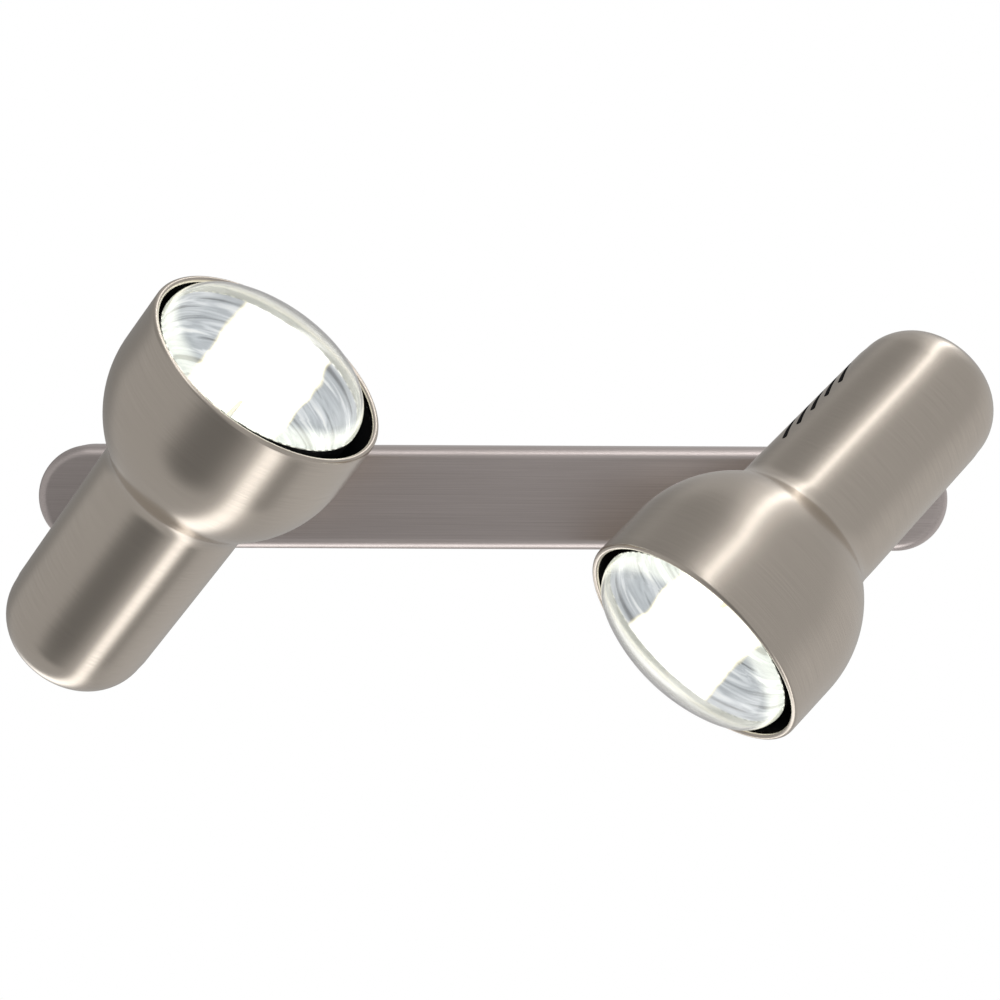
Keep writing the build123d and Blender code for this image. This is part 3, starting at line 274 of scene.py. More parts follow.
def stadium(inset, depth, turn_steps=48):
    """One ring of the tray's outline, drawn in by an inset, at a depth off the wall."""
    radius = bar_height / 2 - inset
    half = (bar_length - bar_height) / 2
    ring = []
    for side, start in ((1, -pi / 2), (-1, pi / 2)):
        for step in range(turn_steps + 1):
            angle = start + pi * step / turn_steps
            ring.append((side * half + radius * cos(angle), -depth, radius * sin(angle)))
    return ring


def skin(name, rings, caps=()):
    """A mesh of quads between rings of equal count, with the listed rings closed flat."""
    count = len(rings[0])
    points = [point for ring in rings for point in ring]
    faces = []
    for row in range(len(rings) - 1):
        near, far = row * count, (row + 1) * count
        for step in range(count):
            after = (step + 1) % count
            faces.append((near + step, near + after, far + after, far + step))
    for row in caps:
        faces.append(tuple(row * count + step for step in range(count)))
    mesh = bpy.data.meshes.new(name)
    mesh.from_pydata(points, [], faces)
    shape = bmesh.new()
    shape.from_mesh(mesh)
    bmesh.ops.recalc_face_normals(shape, faces=shape.faces)
    shape.to_mesh(mesh)
    shape.free()
    piece = bpy.data.objects.new(name, mesh)
    scene.collection.objects.link(piece)
    return piece


def smooth(piece, angle=32.0):
    """Shade smooth, with an edge kept sharp where its faces meet at more than the angle."""
    shape = bmesh.new()
    shape.from_mesh(piece.data)
    for face in shape.faces:
        face.smooth = True
    for edge in shape.edges:
        if len(edge.link_faces) == 2:
            edge.smooth = edge.calc_face_angle(0.0) < radians(angle)
    shape.to_mesh(piece.data)
    shape.free()


bar_wall, bar_depth, bar_edge = 0.001, 0.022, 0.0045
bar_rings = [stadium(0.0, 0.0)]
for step in range(11):
    angle = pi / 2 * step / 10
    bar_rings.append(stadium(bar_edge * (1 - cos(angle)), bar_depth - bar_edge * (1 - sin(angle))))
inner_rings = [stadium(bar_wall, 0.0)]
inner_edge = bar_edge - bar_wall
for step in range(7):
    angle = pi / 2 * step / 6
    inset = bar_wall + inner_edge * (1 - cos(angle))
    inner_rings.append(stadium(inset, bar_depth - bar_wall - inner_edge * (1 - sin(angle))))
bar_all = [*reversed(bar_rings), *inner_rings]
bar_cover = skin("bar_cover_skin", bar_all, caps=(0, len(bar_all) - 1))
swivel_x, swivel_hole = 0.1175, 0.00505
side_screw_x, side_screw_depth, side_hole_z, side_hole = 0.092, 0.009, 0.0193, 0.00205
holes = bmesh.new()
for x in (-swivel_x, swivel_x):
    bmesh.ops.create_cone(
        holes, cap_ends=True, segments=40, radius1=swivel_hole, radius2=swivel_hole, depth=0.008,
        matrix=Matrix.Translation((x, -bar_depth, 0)) @ Matrix.Rotation(pi / 2, 4, "X"))
for x, z in ((-side_screw_x, side_hole_z), (side_screw_x, -side_hole_z)):
    bmesh.ops.create_cone(
        holes, cap_ends=True, segments=32, radius1=side_hole, radius2=side_hole, depth=0.006,
        matrix=Matrix.Translation((x, -side_screw_depth, z)))
drill_mesh = bpy.data.meshes.new("drill")
holes.to_mesh(drill_mesh)
holes.free()
drill = bpy.data.objects.new("drill", drill_mesh)
scene.collection.objects.link(drill)


def cut(piece, tool):
    """Take a tool's shape out of a piece and keep the result as its mesh."""
    knife = piece.modifiers.new("cut", "BOOLEAN")
    knife.object = tool
    knife.solver = "EXACT"
    knife.material_mode = "TRANSFER"
    result = bpy.data.meshes.new_from_object(piece.evaluated_get(bpy.context.evaluated_depsgraph_get()))
    piece.modifiers.clear()
    piece.data = result
    bpy.data.objects.remove(tool)


cut(bar_cover, drill)
smooth(bar_cover)
bar_cover.data.materials.clear()
bar_cover.data.materials.append(bar_nickel)
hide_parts("bar_cover")
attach(bar_cover, "bar")

# ---- Head shells
# Each is spun from one sheet of steel: a domed tube that swells over a round shoulder into a short
# wide barrel with a rolled rim, brushed round and nickel plated outside, painted black inside.
# For each head: its place along the bar, pan, tilt, the lamp's lean, and the side of its vents.
HEAD_PLACES = {"left": (-swivel_x, 51.75, 26.0, -1.0, -1), "right": (swivel_x, 224.2, 24.7, 0.4, 1)}
pivot_depth, pivot_station, tube_lift = 0.046, 0.0607, 0.045
cap_tip_station, lamp_pivot = 0.0543, 0.0165


def head_axes(x, pan, tilt):
    """The head's own frame: z from its back to its mouth, x off the wall."""
    heading = Vector((cos(radians(pan)), 0, sin(radians(pan))))
    off_wall = Vector((0, -1, 0))
    along = heading * cos(radians(tilt)) + off_wall * sin(radians(tilt))
    lift = off_wall * cos(radians(tilt)) - heading * sin(radians(tilt))
    back = Vector((x, -pivot_depth, 0)) - along * pivot_station + lift * tube_lift
    turned = Matrix((lift, along.cross(lift), along)).transposed().to_4x4()
    return Matrix.Translation(back) @ turned


def lamp_axes(head, lean):
    """The lamp's frame: at the tip of its cap, leaning a little in its holder."""
    swing = Matrix.Rotation(radians(-lean), 4, "X")
    pivot_place = Matrix.Translation((0, 0, cap_tip_station + lamp_pivot))
    return head @ pivot_place @ swing @ Matrix.Translation((0, 0, -lamp_pivot))


def arc(centre, radius, start, end, steps):
    """Points along an arc of a profile, in millimetres from the axis and the back."""
    turns = [radians(start + (end - start) * step / steps) for step in range(steps + 1)]
    return [(centre[0] + radius * cos(turn), centre[1] + radius * sin(turn)) for turn in turns]


def spun(name, profile, place, finishes, marks=None, steps=144, closed=False):
    """A turned shape from a profile of (radius, station) in mm.

    Its UV map turn is the turn and the station, and plan is its view along the axis, in metres.
    """
    rows = []
    points = []
    for radius, station in profile:
        if radius < 1e-6:
            rows.append([len(points)] * steps)
            points.append((0.0, 0.0, station / 1000))
        else:
            rows.append([len(points) + step for step in range(steps)])
            for step in range(steps):
                angle = pi + 2 * pi * step / steps
                points.append((radius / 1000 * cos(angle), radius / 1000 * sin(angle), station / 1000))
    if closed:
        rows.append(rows[0])
    faces, corners, tags = [], [], []
    for row in range(len(rows) - 1):
        for step in range(steps):
            after = (step + 1) % steps
            near, far = rows[row], rows[row + 1]
            stations = (profile[row][1] / 1000, profile[(row + 1) % len(profile)][1] / 1000)
            loop = [(near[step], step, stations[0]), (near[after], step + 1, stations[0]),
                    (far[after], step + 1, stations[1]), (far[step], step, stations[1])]
            kept = [loop[index] for index in range(4) if loop[index][0] != loop[index - 1][0]]
            if len(kept) < 3:
                continue
            faces.append(tuple(item[0] for item in kept))
            corners.extend((item[1] / steps, item[2]) for item in kept)
            tags.append(marks[row] if marks else 0)
    mesh = bpy.data.meshes.new(name)
    mesh.from_pydata(points, [], faces)
    mesh.uv_layers.new(name="turn")
    mesh.uv_layers.new(name="plan")
    for item, corner in zip(mesh.uv_layers["turn"].data, corners):
        item.uv = corner
    for item, loop in zip(mesh.uv_layers["plan"].data, mesh.loops):
        item.uv = mesh.vertices[loop.vertex_index].co.xy
    for finish in finishes:
        mesh.materials.append(finish)
    for face, tag in zip(mesh.polygons, tags):
        face.material_index = tag
    shape = bmesh.new()
    shape.from_mesh(mesh)
    bmesh.ops.recalc_face_normals(shape, faces=shape.faces)
    shape.transform(place)
    shape.to_mesh(mesh)
    shape.free()
    piece = bpy.data.objects.new(name, mesh)
    scene.collection.objects.link(piece)
    return piece


shell_nickel = brushed(
    "shell_nickel", (0.66, 0.60, 0.53), (0.60, 0.545, 0.482), 0.22, 1.0, (9.0, 3600.0, 1.0),
    uv="turn", grain=0.45)
lining = bpy.data.materials.new("black_lining")
lining.use_nodes = True
lining_nodes, lining_links = lining.node_tree.nodes, lining.node_tree.links
lining_shader = lining_nodes["Principled BSDF"]
lining_where = lining_nodes.new("ShaderNodeTexCoord")
lining_dust = lining_nodes.new("ShaderNodeTexNoise")
lining_dust.inputs["Scale"].default_value = 400.0
lining_dust.inputs["Detail"].default_value = 4.0
lining_tone = lining_nodes.new("ShaderNodeValToRGB")
lining_tone.color_ramp.elements[0].color = (0.004, 0.004, 0.005, 1.0)
lining_tone.color_ramp.elements[1].color = (0.014, 0.014, 0.016, 1.0)
lining_links.new(lining_where.outputs["Object"], lining_dust.inputs["Vector"])
lining_links.new(lining_dust.outputs["Fac"], lining_tone.inputs["Fac"])
lining_links.new(lining_tone.outputs["Color"], lining_shader.inputs["Base Color"])
lining_shader.inputs["Roughness"].default_value = 0.75
lining_shader.inputs["Specular IOR Level"].default_value = 0.2

# The profile in millimetres, each arc with its centre and radius
sheet, tube_radius, barrel_radius = 1.0, 27.9, 46.0
tube_slope = (29.2 - tube_radius) / 90.0
dome_centre, dome_radius, dome_end = (7.0, 20.9), 20.9, -0.8
neck_centre, neck_radius, neck_end = (41.1, 89.8), 12.0, 135.7
shoulder_centre, shoulder_radius, shoulder_start = (-1.6, 131.4), 47.6, -44.3
rim_centre, rim_radius, rim_end = (44.7, 152.7), 1.3, 283.3
shell_outside = [
    (0.0, 0.0),
    *arc(dome_centre, dome_radius, -90, dome_end, 20),
    *[(tube_radius + tube_slope * station, station) for station in range(24, 90, 6)],
    *arc(neck_centre, neck_radius, 180, neck_end, 8),
    *arc(shoulder_centre, shoulder_radius, shoulder_start, 0, 24)[1:],
    *[(barrel_radius, station) for station in (136.0, 141.0, 146.0, 150.0)],
    *arc(rim_centre, rim_radius, 0, rim_end, 14),
]
shell_inside = [
    (barrel_radius - sheet, shoulder_centre[1]),
    *arc(shoulder_centre, shoulder_radius - sheet, 0, shoulder_start, 18)[1:],
    *arc(neck_centre, neck_radius + sheet, neck_end, 180, 6)[1:],
    (tube_radius - sheet + tube_slope * 40, 40.0),
    *arc(dome_centre, dome_radius - sheet, dome_end, -90, 12),
    (0.0, sheet),
]
shell_marks = [0] * (len(shell_outside) - 1) + [1] * len(shell_inside)
vent_row = bpy.data.node_groups.new("vent_row", "GeometryNodeTree")
vent_row.interface.new_socket("Geometry", in_out="OUTPUT", socket_type="NodeSocketGeometry")
for label, kind, value in (("Count", "NodeSocketInt", 5), ("Pitch", "NodeSocketFloat", 0.008),
                           ("Length", "NodeSocketFloat", 0.020), ("Width", "NodeSocketFloat", 0.002),
                           ("Paint", "NodeSocketMaterial", None)):
    socket = vent_row.interface.new_socket(label, in_out="INPUT", socket_type=kind)
    if value is not None:
        socket.default_value = value
vent_in = vent_row.nodes.new("NodeGroupInput")
vent_out = vent_row.nodes.new("NodeGroupOutput")
vent_line = vent_row.nodes.new("GeometryNodeMeshLine")
vent_row.links.new(vent_in.outputs["Count"], vent_line.inputs["Count"])
vent_step = vent_row.nodes.new("ShaderNodeCombineXYZ")
vent_row.links.new(vent_in.outputs["Pitch"], vent_step.inputs["Z"])
vent_row.links.new(vent_step.outputs["Vector"], vent_line.inputs["Offset"])
vent_straight = vent_row.nodes.new("ShaderNodeMath")
vent_straight.operation = "SUBTRACT"
vent_row.links.new(vent_in.outputs["Length"], vent_straight.inputs[0])
vent_row.links.new(vent_in.outputs["Width"], vent_straight.inputs[1])
vent_end = vent_row.nodes.new("GeometryNodeMeshCylinder")
vent_end.inputs["Vertices"].default_value = 20
vent_end.inputs["Depth"].default_value = 0.008
vent_radius = vent_row.nodes.new("ShaderNodeMath")
vent_radius.operation = "MULTIPLY"
vent_radius.inputs[1].default_value = 0.5
vent_row.links.new(vent_in.outputs["Width"], vent_radius.inputs[0])
vent_row.links.new(vent_radius.outputs[0], vent_end.inputs["Radius"])
vent_half = vent_row.nodes.new("ShaderNodeMath")
vent_half.operation = "MULTIPLY"
vent_half.inputs[1].default_value = 0.5
vent_row.links.new(vent_straight.outputs[0], vent_half.inputs[0])
vent_ends = vent_row.nodes.new("GeometryNodeJoinGeometry")
for sign in (-1.0, 1.0):
    vent_signed = vent_row.nodes.new("ShaderNodeMath")
    vent_signed.operation = "MULTIPLY"
    vent_signed.inputs[1].default_value = sign
    vent_row.links.new(vent_half.outputs[0], vent_signed.inputs[0])
    vent_shift = vent_row.nodes.new("ShaderNodeCombineXYZ")
    vent_row.links.new(vent_signed.outputs[0], vent_shift.inputs["Y"])
    vent_move = vent_row.nodes.new("GeometryNodeTransform")
    vent_move.inputs["Rotation"].default_value = (0.0, pi / 2, 0.0)
    vent_row.links.new(vent_end.outputs["Mesh"], vent_move.inputs["Geometry"])
    vent_row.links.new(vent_shift.outputs["Vector"], vent_move.inputs["Translation"])
    vent_row.links.new(vent_move.outputs["Geometry"], vent_ends.inputs["Geometry"])
vent_body = vent_row.nodes.new("GeometryNodeConvexHull")
vent_row.links.new(vent_ends.outputs["Geometry"], vent_body.inputs["Geometry"])
vent_slant = vent_row.nodes.new("GeometryNodeInstanceOnPoints")
vent_row.links.new(vent_line.outputs["Mesh"], vent_slant.inputs["Points"])
vent_row.links.new(vent_body.outputs["Convex Hull"], vent_slant.inputs["Instance"])
vent_row.interface.new_socket("Slant", in_out="INPUT", socket_type="NodeSocketVector")
vent_row.links.new(vent_in.outputs["Slant"], vent_slant.inputs["Rotation"])
vent_real = vent_row.nodes.new("GeometryNodeRealizeInstances")
vent_row.links.new(vent_slant.outputs["Instances"], vent_real.inputs["Geometry"])
vent_painted = vent_row.nodes.new("GeometryNodeSetMaterial")
vent_row.links.new(vent_real.outputs["Geometry"], vent_painted.inputs["Geometry"])
vent_row.links.new(vent_in.outputs["Paint"], vent_painted.inputs["Material"])
vent_row.links.new(vent_painted.outputs["Geometry"], vent_out.inputs["Geometry"])


def grown(name, tree, settings):
    """Run a node tree on an empty piece and keep what it makes as a plain mesh."""
    piece = bpy.data.objects.new(name, bpy.data.meshes.new(name))
    scene.collection.objects.link(piece)
    maker = piece.modifiers.new("maker", "NODES")
    maker.node_group = tree
    for item in tree.interface.items_tree:
        if item.in_out == "INPUT" and item.name in settings:
            maker[item.identifier] = settings[item.name]
    result = bpy.data.meshes.new_from_object(piece.evaluated_get(bpy.context.evaluated_depsgraph_get()))
    piece.modifiers.clear()
    piece.data = result
    return piece


# The row of slots is turned from the head's lift to the tube's upper flank, on the right a little
# less, so that it shows at the tube's edge
vent_turns = {"left": 94.6, "right": 84.0}
vent_reach, vent_station, vent_slope = 0.0283, 0.036, radians(54.7)
for name, (x, pan, tilt, lean, vent_side) in HEAD_PLACES.items():
    head = head_axes(x, pan, tilt)
    shell = spun(
        f"{name}_shell_skin", [*shell_outside, *shell_inside], head, [shell_nickel, lining], shell_marks)
    slots = grown(f"{name}_slots", vent_row, {
        "Count": 5, "Pitch": 0.008, "Length": 0.020, "Width": 0.0021, "Paint": lining,
        "Slant": (vent_side * -vent_slope, 0.0, 0.0)})
    round_axis = Matrix.Rotation(radians(vent_turns[name]) * vent_side, 4, "Z")
    slots.data.transform(head @ (round_axis @ Matrix.Translation((vent_reach, 0, vent_station))))
    cut(shell, slots)
    smooth(shell, 40.0)
    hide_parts(f"{name}_lamp_shell")
    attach(shell, f"{name}_head")

# ---- Reflector lamps
# A blown glass bowl, silvered inside up to its widest ring, under a shallow clear face.  The lit
# coil's glare over the middle of the bowl is a painted glowing band, and the silver beside it has the room
# painted on as glowing wavy bands of reflection.


def made(tree, kind, inputs, **settings):
    """Add a node, set its properties, and give each input a value or a link."""
    node = tree.nodes.new(kind)
    for key, value in settings.items():
        setattr(node, key, value)
    for key, value in inputs.items():
        if isinstance(value, bpy.types.NodeSocket):
            tree.links.new(value, node.inputs[key])
        else:
            node.inputs[key].default_value = value
    return node


def ramp(tree, factor, stops):
    """A colour ramp with the given stops of place and colour."""
    scale = made(tree, "ShaderNodeValToRGB", {"Fac": factor})
    bar = scale.color_ramp
    while len(bar.elements) < len(stops):
        bar.elements.new(0.5)
    for element, (place, colour) in zip(bar.elements, stops):
        element.position = place
        element.color = (*colour, 1.0)
    return scale.outputs["Color"]


def finish_of(name, **constants):
    """A new material, its node tree and its shader with the given constant sockets."""
    finish = bpy.data.materials.new(name)
    finish.use_nodes = True
    shader = finish.node_tree.nodes["Principled BSDF"]
    for key, value in constants.items():
        shader.inputs[key.replace("_", " ")].default_value = value
    return finish, finish.node_tree, shader


silver, tree, shader = finish_of("silvered_glass_painted_light", Roughness=0.12, Emission_Strength=1.5)
plan = made(tree, "ShaderNodeUVMap", {}, uv_map="plan")
spot = made(tree, "ShaderNodeTexCoord", {}).outputs["Object"]
ripple = made(tree, "ShaderNodeTexNoise", {"Vector": spot, "Scale": 75.0, "Detail": 1.5}).outputs["Fac"]
split = made(tree, "ShaderNodeSeparateXYZ", {"Vector": plan.outputs["UV"]})
shift = made(tree, "ShaderNodeMath", {0: ripple, 1: 0.006, 2: -0.0005}, operation="MULTIPLY_ADD")
across = made(tree, "ShaderNodeMath", {0: split.outputs["Y"], 1: shift.outputs[0]}, operation="ADD")
away = made(tree, "ShaderNodeMath", {0: across.outputs[0]}, operation="ABSOLUTE")
# Painted glare: a band across the middle of the bowl glows near white as the lit coil's reflection, with a
# warm fringe at its wavering edge
flood_edge, flood_full = 0.0200, 0.0182
flood = made(
    tree, "ShaderNodeMapRange", {"Value": away.outputs[0], "From Min": flood_edge, "From Max": flood_full})
turn = made(tree, "ShaderNodeUVMap", {}, uv_map="turn")
rings = made(tree, "ShaderNodeMapping", {"Vector": turn.outputs["UV"], "Scale": (4.0, 270.0, 1.0)})
streak = made(tree, "ShaderNodeTexNoise", {
    "Vector": rings.outputs["Vector"], "Scale": 1.0, "Detail": 3.0, "Distortion": 0.9}).outputs["Fac"]
# Painted reflection: the silver's wavy light and dark bands are glowing colours, not a mirror's view of
# the room
painted_reflection_tones = [(0.36, (0.055, 0.06, 0.065)), (0.43, (0.20, 0.215, 0.23)), (0.47, (0.31, 0.33, 0.345)),
                (0.53, (0.19, 0.205, 0.22)), (0.58, (0.34, 0.355, 0.37)), (0.68, (0.50, 0.50, 0.49))]
painted_reflection_glow = ramp(tree, streak, painted_reflection_tones)
flood_tones = [(0.0, (0.62, 0.50, 0.24)), (0.5, (1.0, 0.93, 0.66)), (1.0, (1.0, 0.995, 0.97))]
flood_tone = ramp(tree, flood.outputs["Result"], flood_tones)
lit = made(tree, "ShaderNodeMix", {
    "Factor": flood.outputs["Result"], 6: painted_reflection_glow, 7: flood_tone}, data_type="RGBA")
tree.links.new(lit.outputs[2], shader.inputs["Emission Color"])
silver_tone = ramp(tree, streak, [(0.4, (0.10, 0.105, 0.11)), (0.6, (0.20, 0.21, 0.22))])
tree.links.new(silver_tone, shader.inputs["Base Color"])
wave = made(tree, "ShaderNodeBump", {"Height": ripple, "Strength": 0.3, "Distance": 0.0015})
tree.links.new(wave.outputs["Normal"], shader.inputs["Normal"])

# Outside, the silvered bowl is a dull mirror whose colour is painted near black, as shade from the dark
# shell round it
bowl_back, tree, shader = finish_of("silvered_back", Metallic=0.6, Roughness=0.3)
spot = made(tree, "ShaderNodeTexCoord", {}).outputs["Object"]
film = made(tree, "ShaderNodeTexNoise", {"Vector": spot, "Scale": 120.0, "Detail": 3.0}).outputs["Fac"]
film_and_painted_shade = ramp(tree, film, [(0.35, (0.05, 0.05, 0.055)), (0.65, (0.10, 0.10, 0.105))])
tree.links.new(film_and_painted_shade, shader.inputs["Base Color"])

face_glass, tree, shader = finish_of(
    "clear_face", Roughness=0.04, IOR=1.45, Transmission_Weight=1.0, Emission_Strength=0.5)
plan = made(tree, "ShaderNodeUVMap", {}, uv_map="plan")
spot = made(tree, "ShaderNodeTexCoord", {}).outputs["Object"]
reach = made(tree, "ShaderNodeVectorMath", {0: plan.outputs["UV"]}, operation="LENGTH").outputs["Value"]
band_start, face_radius = 0.0345, 0.0400
edge = made(tree, "ShaderNodeMapRange", {
    "Value": reach, "From Min": band_start, "From Max": face_radius}).outputs["Result"]
glass_tones = [(0.0, (0.985, 0.99, 0.985)), (0.6, (0.95, 0.96, 0.93)), (1.0, (0.88, 0.90, 0.83))]
no_glow = (0.0, 0.0, 0.0)
# Painted glow: the face's outer ring glows pale cream as the coil's light caught in the glass edge
painted_edge_glow = [(0.0, no_glow), (0.35, no_glow), (0.7, (0.50, 0.50, 0.43)), (1.0, (0.46, 0.47, 0.41))]
tree.links.new(ramp(tree, edge, glass_tones), shader.inputs["Base Color"])
tree.links.new(ramp(tree, edge, painted_edge_glow), shader.inputs["Emission Color"])
dimple = made(tree, "ShaderNodeTexNoise", {"Vector": spot, "Scale": 70.0}).outputs["Fac"]
pressed = made(tree, "ShaderNodeBump", {"Height": dimple, "Strength": 0.05, "Distance": 0.0005})
tree.links.new(pressed.outputs["Normal"], shader.inputs["Normal"])

# Profiles in millimetres from the lamp's axis and the tip of its cap
brim, brim_radius, glass_wall = 97.26, 40.0, 1.0
bowl_radius, bowl_turn = 66.7, -50.19
bowl_outside = [
    (12.5, 20.0), (12.5, 27.0), (16.0, 36.0),
    *arc((brim_radius - bowl_radius, brim), bowl_radius, bowl_turn, 0, 36),
]
bowl_inside = [(radius - glass_wall, station) for radius, station in reversed(bowl_outside)]
bowl_marks = [1] * len(bowl_outside) + [0] * len(bowl_inside)
face_turn, corner_radius, front_radius = 61.07, 10.0, 72.0
corner_centre, front_centre = (30.0, brim), (0.0, 43.0)
face_profile = [
    *arc(corner_centre, corner_radius, 0, face_turn, 10),
    *arc(front_centre, front_radius, face_turn, 90, 24)[1:],
    *arc(front_centre, front_radius - glass_wall, 90, face_turn, 24),
    *arc(corner_centre, corner_radius - glass_wall, face_turn, 0, 10)[1:],
]
for name, (x, pan, tilt, lean, vent_side) in HEAD_PLACES.items():
    lamp = lamp_axes(head_axes(x, pan, tilt), lean)
    bowl = spun(
        f"{name}_lamp_bowl", [*bowl_outside, *bowl_inside], lamp, [silver, bowl_back], bowl_marks,
        closed=True)
    smooth(bowl, 40.0)
    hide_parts(f"{name}_lamp_reflector")
    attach(bowl, f"{name}_head")
    face = spun(f"{name}_lamp_front", face_profile, lamp, [face_glass], closed=True)
    smooth(face, 40.0)
    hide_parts(f"{name}_lamp_face")
    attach(face, f"{name}_head")

# ---- Lamp caps, stems and filaments
# An aluminium screw cap closed by a dark glass insulator, and inside it a clear glass stem with two
# wires that hold the glowing tungsten coil.
mottle = bpy.data.node_groups.new("mottle", "ShaderNodeTree")
for label, kind, value in (
    ("Scale", "NodeSocketFloat", 300.0), ("Light", "NodeSocketColor", (0.8, 0.8, 0.8, 1.0)),
    ("Dark", "NodeSocketColor", (0.7, 0.7, 0.7, 1.0)), ("Gloss", "NodeSocketFloat", 0.4),
    ("Uneven", "NodeSocketFloat", 0.1), ("Depth", "NodeSocketFloat", 0.00002),
):
    mottle.interface.new_socket(label, in_out="INPUT", socket_type=kind).default_value = value
for label, kind in surface_outputs:
    mottle.interface.new_socket(label, in_out="OUTPUT", socket_type=kind)
given = made(mottle, "NodeGroupInput", {}).outputs
spot = made(mottle, "ShaderNodeTexCoord", {}).outputs["Object"]
speck = made(mottle, "ShaderNodeTexNoise", {
    "Vector": spot, "Scale": given["Scale"], "Detail": 4.0}).outputs["Fac"]
patch = made(mottle, "ShaderNodeTexNoise", {"Vector": spot, "Scale": 60.0}).outputs["Fac"]
both = made(mottle, "ShaderNodeMix", {"Factor": 0.4, 2: speck, 3: patch}).outputs[0]
even = made(mottle, "ShaderNodeMapRange", {
    "Value": both, "From Min": 0.35, "From Max": 0.65}).outputs["Result"]
shade = made(mottle, "ShaderNodeMix", {
    "Factor": even, 6: given["Dark"], 7: given["Light"]}, data_type="RGBA")
dull = made(mottle, "ShaderNodeMath", {
    0: even, 1: given["Uneven"], 2: given["Gloss"]}, operation="MULTIPLY_ADD")
pits = made(mottle, "ShaderNodeBump", {"Height": speck, "Distance": given["Depth"], "Strength": 0.5})
made(mottle, "NodeGroupOutput", {
    "Color": shade.outputs[2], "Roughness": dull.outputs[0], "Normal": pits.outputs["Normal"]})


def coated(name, light, dark, gloss, scale=300.0, depth=0.00002, **constants):
    """A plain finish that varies a little, as cast, moulded or plated pieces do."""
    finish, tree, shader = finish_of(name, **constants)
    effect = made(tree, "ShaderNodeGroup", {}, node_tree=mottle)
    for key, value in (
        ("Light", (*light, 1.0)), ("Dark", (*dark, 1.0)),
        ("Gloss", gloss), ("Scale", scale), ("Depth", depth),
    ):
        effect.inputs[key].default_value = value
    for key, target in (("Color", "Base Color"), ("Roughness", "Roughness"), ("Normal", "Normal")):
        tree.links.new(effect.outputs[key], shader.inputs[target])
    return finish


def dress(finish, *nodes):
    """Give pieces whose built shape is right their finish."""
    for node in nodes:
        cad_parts[node].data.materials.clear()
        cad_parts[node].data.materials.append(finish)


def both_heads(*pieces):
    """The node names of pieces that each head has."""
    return [f"{name}_{piece}" for name in HEAD_PLACES for piece in pieces]


def welded(node, finish, body, angle=32.0):
    """A built piece's own shape with its triangles joined, smooth but for its real edges."""
    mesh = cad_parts[node].data.copy()
    shape = bmesh.new()
    shape.from_mesh(mesh)
    bmesh.ops.remove_doubles(shape, verts=shape.verts, dist=2e-6)
    shape.to_mesh(mesh)
    shape.free()
    piece = bpy.data.objects.new(f"{node}_finished", mesh)
    scene.collection.objects.link(piece)
    smooth(piece, angle)
    mesh.materials.clear()
    mesh.materials.append(finish)
    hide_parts(node)
    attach(piece, body)


cap_metal = coated("cap_metal", (0.80, 0.80, 0.78), (0.66, 0.66, 0.64), 0.25, Metallic=1.0)
cap_glass = coated("cap_glass", (0.07, 0.06, 0.09), (0.03, 0.03, 0.045), 0.08, scale=120.0)
stem_glass, tree, shader = finish_of("stem_glass", Roughness=0.03, IOR=1.5, Transmission_Weight=1.0)
spot = made(tree, "ShaderNodeTexCoord", {}).outputs["Object"]
flow = made(tree, "ShaderNodeTexNoise", {"Vector": spot, "Scale": 90.0}).outputs["Fac"]
stem_tone = ramp(tree, flow, [(0.3, (0.90, 0.93, 0.90)), (0.7, (0.97, 0.98, 0.96))])
tree.links.new(stem_tone, shader.inputs["Base Color"])
wire_metal = coated(
    "wire_metal", (0.62, 0.60, 0.57), (0.48, 0.46, 0.44), 0.35, scale=900.0, Metallic=1.0)
glowing, tree, shader = finish_of("glowing_tungsten", Emission_Strength=1.0, Roughness=0.6)
spot = made(tree, "ShaderNodeTexCoord", {}).outputs["Object"]
coils = made(tree, "ShaderNodeTexNoise", {"Vector": spot, "Scale": 1500.0}).outputs["Fac"]
glow = ramp(tree, coils, [(0.3, (0.60, 0.36, 0.16)), (0.7, (0.92, 0.66, 0.36))])
tree.links.new(glow, shader.inputs["Emission Color"])
tree.links.new(glow, shader.inputs["Base Color"])
dress(cap_metal, *both_heads("lamp_cap"))
dress(cap_glass, *both_heads("lamp_insulator"))
dress(stem_glass, *both_heads("lamp_stem"))
dress(wire_metal, *both_heads("lamp_supports"))
dress(glowing, *both_heads("lamp_filament"))

# ---- Lampholders
# A heat-proof moulded body with a brass thread and a sprung brass centre contact, screwed to a
# folded bracket that the lug screws hold inside the tube.
brass = coated("brass", (0.83, 0.62, 0.30), (0.70, 0.50, 0.22), 0.24, Metallic=1.0)
zinc = coated("zinc_plate", (0.72, 0.73, 0.75), (0.58, 0.59, 0.61), 0.30, scale=220.0, Metallic=1.0)
black_moulding = coated(
    "black_moulding", (0.035, 0.035, 0.037), (0.022, 0.022, 0.024), 0.42, scale=700.0)
dress(brass, *both_heads("contact_shell", "centre_contact"))
dress(black_moulding, *both_heads("lampholder_body"))
dress(zinc, *both_heads("holder_bracket"))

# ---- Swivels and lugs
# A turned nickel drum with two ears turns on each nipple, and a cast lug under the tube stands
# between the ears on the tilt screw, centred by two nylon bushes.
turned_nickel = brushed(
    "turned_nickel", (0.60, 0.56, 0.52), (0.48, 0.44, 0.41), 0.26, 1100.0, (0.05, 1.0, 0.05))
cast_nickel = coated(
    "cast_nickel", (0.58, 0.54, 0.50), (0.46, 0.43, 0.40), 0.33, scale=500.0, depth=0.00004, Metallic=1.0)
nut_nickel = coated(
    "nut_nickel", (0.62, 0.59, 0.55), (0.50, 0.47, 0.44), 0.27, scale=400.0, Metallic=1.0)
nylon = coated("white_nylon", (0.84, 0.83, 0.79), (0.76, 0.75, 0.71), 0.45, scale=500.0)
for name in HEAD_PLACES:
    welded(f"{name}_swivel_drum", turned_nickel, f"{name}_arm")
    welded(f"{name}_tube_lug", cast_nickel, f"{name}_head")
    welded(f"{name}_tilt_nut", nut_nickel, f"{name}_arm")
dress(nylon, *both_heads("tilt_bushes"))

